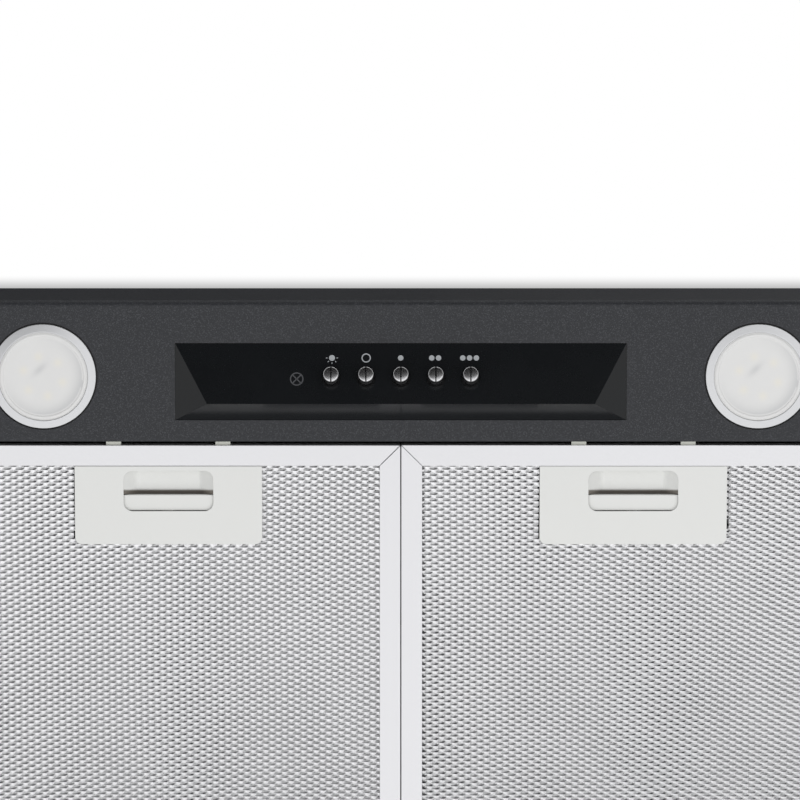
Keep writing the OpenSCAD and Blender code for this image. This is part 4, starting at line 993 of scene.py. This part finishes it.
def makeButton(name, index):
    radius, out, stem = controls["capRadius"], controls["capOut"], controls["stemRadius"]
    lip = -out + controls["capHigh"]
    bm = bmesh.new()
    profile = [(0, lip)] + [(radius - inset, lip + high) for inset, high in controls["barrelRim"]]
    profile += [(radius - inset, -deep) for inset, deep in controls["barrelLine"]]
    profile += [(radius, 0), (stem, 0), (stem, controls["stemLength"]), (0, controls["stemLength"])]
    spinProfile(bm, profile, 64)
    turnOut(bm)
    place = facePlace((index - 2) * controls["pitch"])
    bmesh.ops.transform(bm, matrix=place, verts=bm.verts)
    makePiece(bm, name + "_barrel", name, "barrel", (name,), 30)
    # two half moons on top leave the fine split across the cap
    seat = lip + controls["capSink"]
    profile = [(0, seat), (radius - controls["capInset"], seat)]
    profile += [(radius - inset, -out + deep) for inset, deep in controls["capRim"]] + [(0, -out)]
    bm = bmesh.new()
    for sign in (-1, 1):
        half = bmesh.new()
        spinProfile(half, profile, 64)
        everything = list(half.verts) + list(half.edges) + list(half.faces)
        groove = (sign * controls["grooveHalf"], 0, 0)
        bmesh.ops.bisect_plane(half, geom=everything, dist=0.0000005, plane_co=groove, plane_no=(-sign, 0, 0),
                               clear_outer=True)
        bmesh.ops.holes_fill(half, edges=[e for e in half.edges if e.is_boundary], sides=0)
        joinIn(bm, half)
    turnOut(bm)
    bmesh.ops.transform(bm, matrix=place, verts=bm.verts)
    makePiece(bm, name + "_cap", name, "button", (), 30)


def printDisc(bm, x, y, radius, steps=28, hole=0.0):
    thick = symbols["thick"]
    profile = [(hole, -thick), (radius, -thick), (radius, 0), (hole, 0)]
    made = spinProfile(bm, profile + [profile[0]] if hole else profile, steps)
    moveBy(bm, (x, y, 0), made)


def printBar(bm, x, y, size, angle):
    made = bmesh.ops.create_cube(bm, size=1)["verts"]
    bmesh.ops.scale(bm, verts=made, vec=(*size, symbols["thick"]))
    turnBy(bm, angle, "Z", made)
    moveBy(bm, (x, y, -symbols["thick"] / 2), made)


def makePrint(bm, name, materialName):
    turnOut(bm)
    bmesh.ops.transform(bm, matrix=facePlace(), verts=bm.verts)
    makePiece(bm, name, "hood", materialName, (), 30)


def makeSymbols():
    bm = bmesh.new()
    up, sunX, away = symbols["up"], symbols["sunX"], symbols["rayAt"]
    printDisc(bm, sunX, up, symbols["sunRadius"])
    for degrees in symbols["rays"]:
        angle = math.radians(degrees)
        printBar(bm, sunX + away * math.cos(angle), up + away * math.sin(angle), symbols["ray"], angle)
    radius, hole = symbols["ringRadii"]
    printDisc(bm, symbols["ringX"], up, radius, 40, hole)
    for x in symbols["dotX"]:
        printDisc(bm, x, up, symbols["dotRadius"])
    makePrint(bm, "fascia_symbols", "printLight")
    bm = bmesh.new()
    radius, hole = symbols["markRadii"]
    printDisc(bm, *symbols["markAt"], radius, 44, hole)
    for degrees in symbols["markBars"]:
        printBar(bm, *symbols["markAt"], symbols["markBar"], math.radians(degrees))
    makePrint(bm, "fascia_faint_mark", "printDim")


softenedNode("control_fascia", controls["edgeRound"], 2, 12)
for number, buttonName in enumerate(buttonNames):
    makeButton(buttonName, number)
makeSymbols()
print("controls made")


# lamps

lamp = {
    "x": 0.2055,
    "y": 0.0440,            # behind the hood's front
    "pocket": 0.0264,
    "settle": 0.00009,      # the lens sits this much towards the front in its ring
    "ringInner": 0.0257,
    "ringOuter": 0.0302,
    # the ring's rims as steps from its inner and outer radius, with heights
    "innerRim": ((0, -0.0007), (0, -0.00125), (0.00007, -0.00142), (0.00025, -0.0015), (0.0005, -0.00148)),
    "outerRim": ((-0.0006, -0.00068), (-0.00012, -0.00058), (-0.00003, -0.00054), (0, -0.00046), (0, 0.0010)),
    "lens": 0.0263,
    "lensSteps": 22,
    "lensFace": -0.00098,
    "lensTop": 0.0013,
    "step": 0.02542,        # where the lens fits inside the ring
    "stepRim": ((-0.00008, -0.00096), (0, -0.00086), (0, -0.00066)),
    "bandInner": 0.0229,    # inner edge of the lens's raised band
    "bandGap": 0.00012,     # from the band's outer edge to the step
    "bandSteps": 9,
    "bandRise": 0.00045,
}
opal = {
    "color": (0.72, 0.72, 0.712), "bump": 0.000004,
    "warmColor": (0.78, 0.75, 0.66), "warmShare": 0.6,
    "shadeAndSmudgeColor": (0.52, 0.525, 0.53), "shadeAndSmudgeShare": 0.8,
    "spots": 6, "spotRing": 0.0117, "spotWide": 0.0025, "spotTurn": 17,
    "smudge": (-0.0020, -0.0040), "smudgeTurn": 43, "smudgeSize": (0.0048, 0.0018), "smudgeShare": 0.8,
    # painted shade: the lens is coloured darker towards its rim
    "rimShadeFrom": 0.014, "rimShadeWide": 0.0085, "rimShadeShare": 1.1,
    "rimShadeEven": 0.55,        # the rest of the rim's painted shade leans to the rear right
}


def ringProfile():
    inner = [(lamp["ringInner"] + out, z) for out, z in lamp["innerRim"]]
    outer = [(lamp["ringOuter"] + out, z) for out, z in lamp["outerRim"]]
    return inner + outer + [(lamp["pocket"], outer[-1][1]), (lamp["pocket"], inner[0][1]), inner[0]]


def lensProfile():
    band, face, steps = lamp["bandInner"], lamp["lensFace"], lamp["bandSteps"]
    inside = [(band * k / lamp["lensSteps"], face) for k in range(lamp["lensSteps"] + 1)]
    raised = []
    for k in range(1, steps):
        lift = math.sin(math.pi * min(k / steps * 1.12, 1)) ** 0.7  # steeper towards the step
        out = band + (lamp["step"] - lamp["bandGap"] - band) * k / steps
        raised.append((out, face - lamp["bandRise"] * lift))
    rim = [(lamp["step"] + out, z) for out, z in lamp["stepRim"]]
    lens, top = lamp["lens"], lamp["lensTop"]
    return inside + raised + rim + [(lens, rim[-1][1]), (lens, top), (0, top)]


def glowAt(x, y):
    # how warm the lens looks at a place, where its chips show through, and how dark it is made by a smudge and
    # by painted shade towards its rim
    warm = 0.0
    for k in range(opal["spots"]):
        angle = math.radians(360 / opal["spots"] * k + opal["spotTurn"])
        away = math.hypot(x - opal["spotRing"] * math.cos(angle), y - opal["spotRing"] * math.sin(angle))
        warm += math.exp(-(away / opal["spotWide"]) ** 2)
    turn = math.radians(opal["smudgeTurn"])
    dx, dy = x - opal["smudge"][0], y - opal["smudge"][1]
    along = (dx * math.cos(turn) - dy * math.sin(turn)) / opal["smudgeSize"][0]
    across = (dx * math.sin(turn) + dy * math.cos(turn)) / opal["smudgeSize"][1]
    shadeAndSmudge = opal["smudgeShare"] * math.exp(-along ** 2 - across ** 2)
    # painted shade towards the rim, heavier to the rear right
    radius, even = math.hypot(x, y), opal["rimShadeEven"]
    if radius < lamp["bandInner"]:
        rim = max(0, (radius - opal["rimShadeFrom"]) / opal["rimShadeWide"]) ** 2
        shadeAndSmudge += opal["rimShadeShare"] * rim * (even + (1 - even) * (x + y) / max(radius, 0.001))
    return min(warm, 1), max(0, min(shadeAndSmudge, 1))


def makeLampPart(sideName, part, profile, steps, settle, materialName, ending, smooth):
    bm = bmesh.new()
    spinProfile(bm, profile, steps)
    turnOut(bm)
    if part == "lens":
        warmLayer = bm.verts.layers.float.new("warmth")
        rimShadeAndSmudgeLayer = bm.verts.layers.float.new("rimShadeAndSmudge")
        for vert in bm.verts:
            if vert.co.z < 0:
                vert[warmLayer], vert[rimShadeAndSmudgeLayer] = glowAt(vert.co.x, vert.co.y)
    place = (sideSign[sideName] * lamp["x"], frontFace + lamp["y"] - settle, underside)
    moveBy(bm, place)
    name = "lamp_%s_%s" % (part, sideName)
    makePiece(bm, name + ending, "hood", materialName, (name,), smooth)


def makeOpal():
    mat, tree, shader = plainMaterial("opalLens", 0.0, 0.45, 0.15, 0.12)
    grain = grainNode(tree, opal["color"], 0.32, 260, 70, 0.02, 0.04)
    color = grain["Color"]
    for layer, share, tint in (("warmth", "warmShare", "warmColor"), ("rimShadeAndSmudge", "shadeAndSmudgeShare", "shadeAndSmudgeColor")):
        there = addNode(tree, "Attribute", attribute_name=layer).outputs["Fac"]
        color = mixColor(tree, mathNode(tree, "MULTIPLY", there, opal[share]), color, opal[tint])
    dressShader(tree, shader, color, grain["Roughness"], grain["Height"], opal["bump"])
    return mat


paint["opal"] = makeOpal()
for sideName in sideSign:
    makeLampPart(sideName, "ring", ringProfile(), 128, 0, "ring", "_turned", 40)
    makeLampPart(sideName, "lens", lensProfile(), 96, lamp["settle"], "opal", "_opal", 28)
print("lamps made")


# canopy, chimney and what they hold

edgeWidths = {
    "canopy_base": 0.0003, "canopy_pyramid": 0.0003, "back_panel": 0.0002, "top_plate": 0.0002,
    "wall_bracket_left": 0.0003, "wall_bracket_right": 0.0003, "ceiling_bracket": 0.0003,
    "chimney_lower": 0.00022, "chimney_upper": 0.00022, "outlet_collar": 0.0004,
    "capacitor": 0.0006, "terminal_box": 0.0006, "terminal_lid": 0.0005,
    "motor": 0.0005, "motor_bracket": 0.0003, "motor_shaft": 0.0003, "impeller": 0.0002,
    "inlet_guard": 0.0002, "damper_flap_front": 0.0003, "damper_flap_rear": 0.0003,
    "switch_block": 0.0004, "lamp_can_left": 0.0002, "lamp_can_right": 0.0002,
    "lamp_board_left": 0.00015, "lamp_board_right": 0.00015,
}
casing = {
    "shaftY": -0.1185, "shaftZ": 0.209, "faceX": 0.062, "edge": 0.0005,
    "ribFrom": 0.0715, "ribTo": 0.0872, "ribHigh": 0.0022, "ribThick": 0.0016, "ribCount": 16,
    "hoop": 0.0800, "hoopWide": 0.0016, "hoopHigh": 0.0018,
    "sink": 0.0004, "soft": 0.0003,   # how deep ribs and hoop reach in, and their broken edges
}


def makeCasing(sideName):
    # a moulded half with stiffening ribs round its inlet
    side = sideSign[sideName]
    name = "blower_casing_" + sideName
    bm = cadCopy(name)
    roundEdges(bm, sharpEdges(bm), casing["edge"])
    ribs = bmesh.new()
    sink, soft = casing["sink"], casing["soft"]
    for k in range(casing["ribCount"]):
        made = boxMesh(ribs, (-sink, casing["ribFrom"], -casing["ribThick"] / 2),
                       (casing["ribHigh"], casing["ribTo"], casing["ribThick"] / 2))
        turnBy(ribs, 2 * math.pi * (k + 0.5) / casing["ribCount"], "X", made)
    roundEdges(ribs, list(ribs.edges), soft, 1)
    hoop = bmesh.new()
    inner, outer = casing["hoop"] - casing["hoopWide"] / 2, casing["hoop"] + casing["hoopWide"] / 2
    high = casing["hoopHigh"]
    spinProfile(hoop, [(inner, -sink), (inner, high - soft), (inner + soft, high), (outer - soft, high),
                       (outer, high - soft), (outer, -sink), (inner, -sink)], 96)
    turnBy(hoop, math.pi / 2, "Y")
    for extra in (ribs, hoop):
        if side < 0:
            bmesh.ops.scale(extra, verts=extra.verts, vec=(-1, 1, 1))
        moveBy(extra, (side * casing["faceX"], casing["shaftY"], casing["shaftZ"]))
        joinIn(bm, extra)
    makePiece(bm, name + "_moulded", "hood", "whitePlastic", (name,), 35)


for name, width in edgeWidths.items():
    softenedNode(name, width)
for sideName in sideSign:
    makeCasing(sideName)
print("canopy, chimney and blower made")
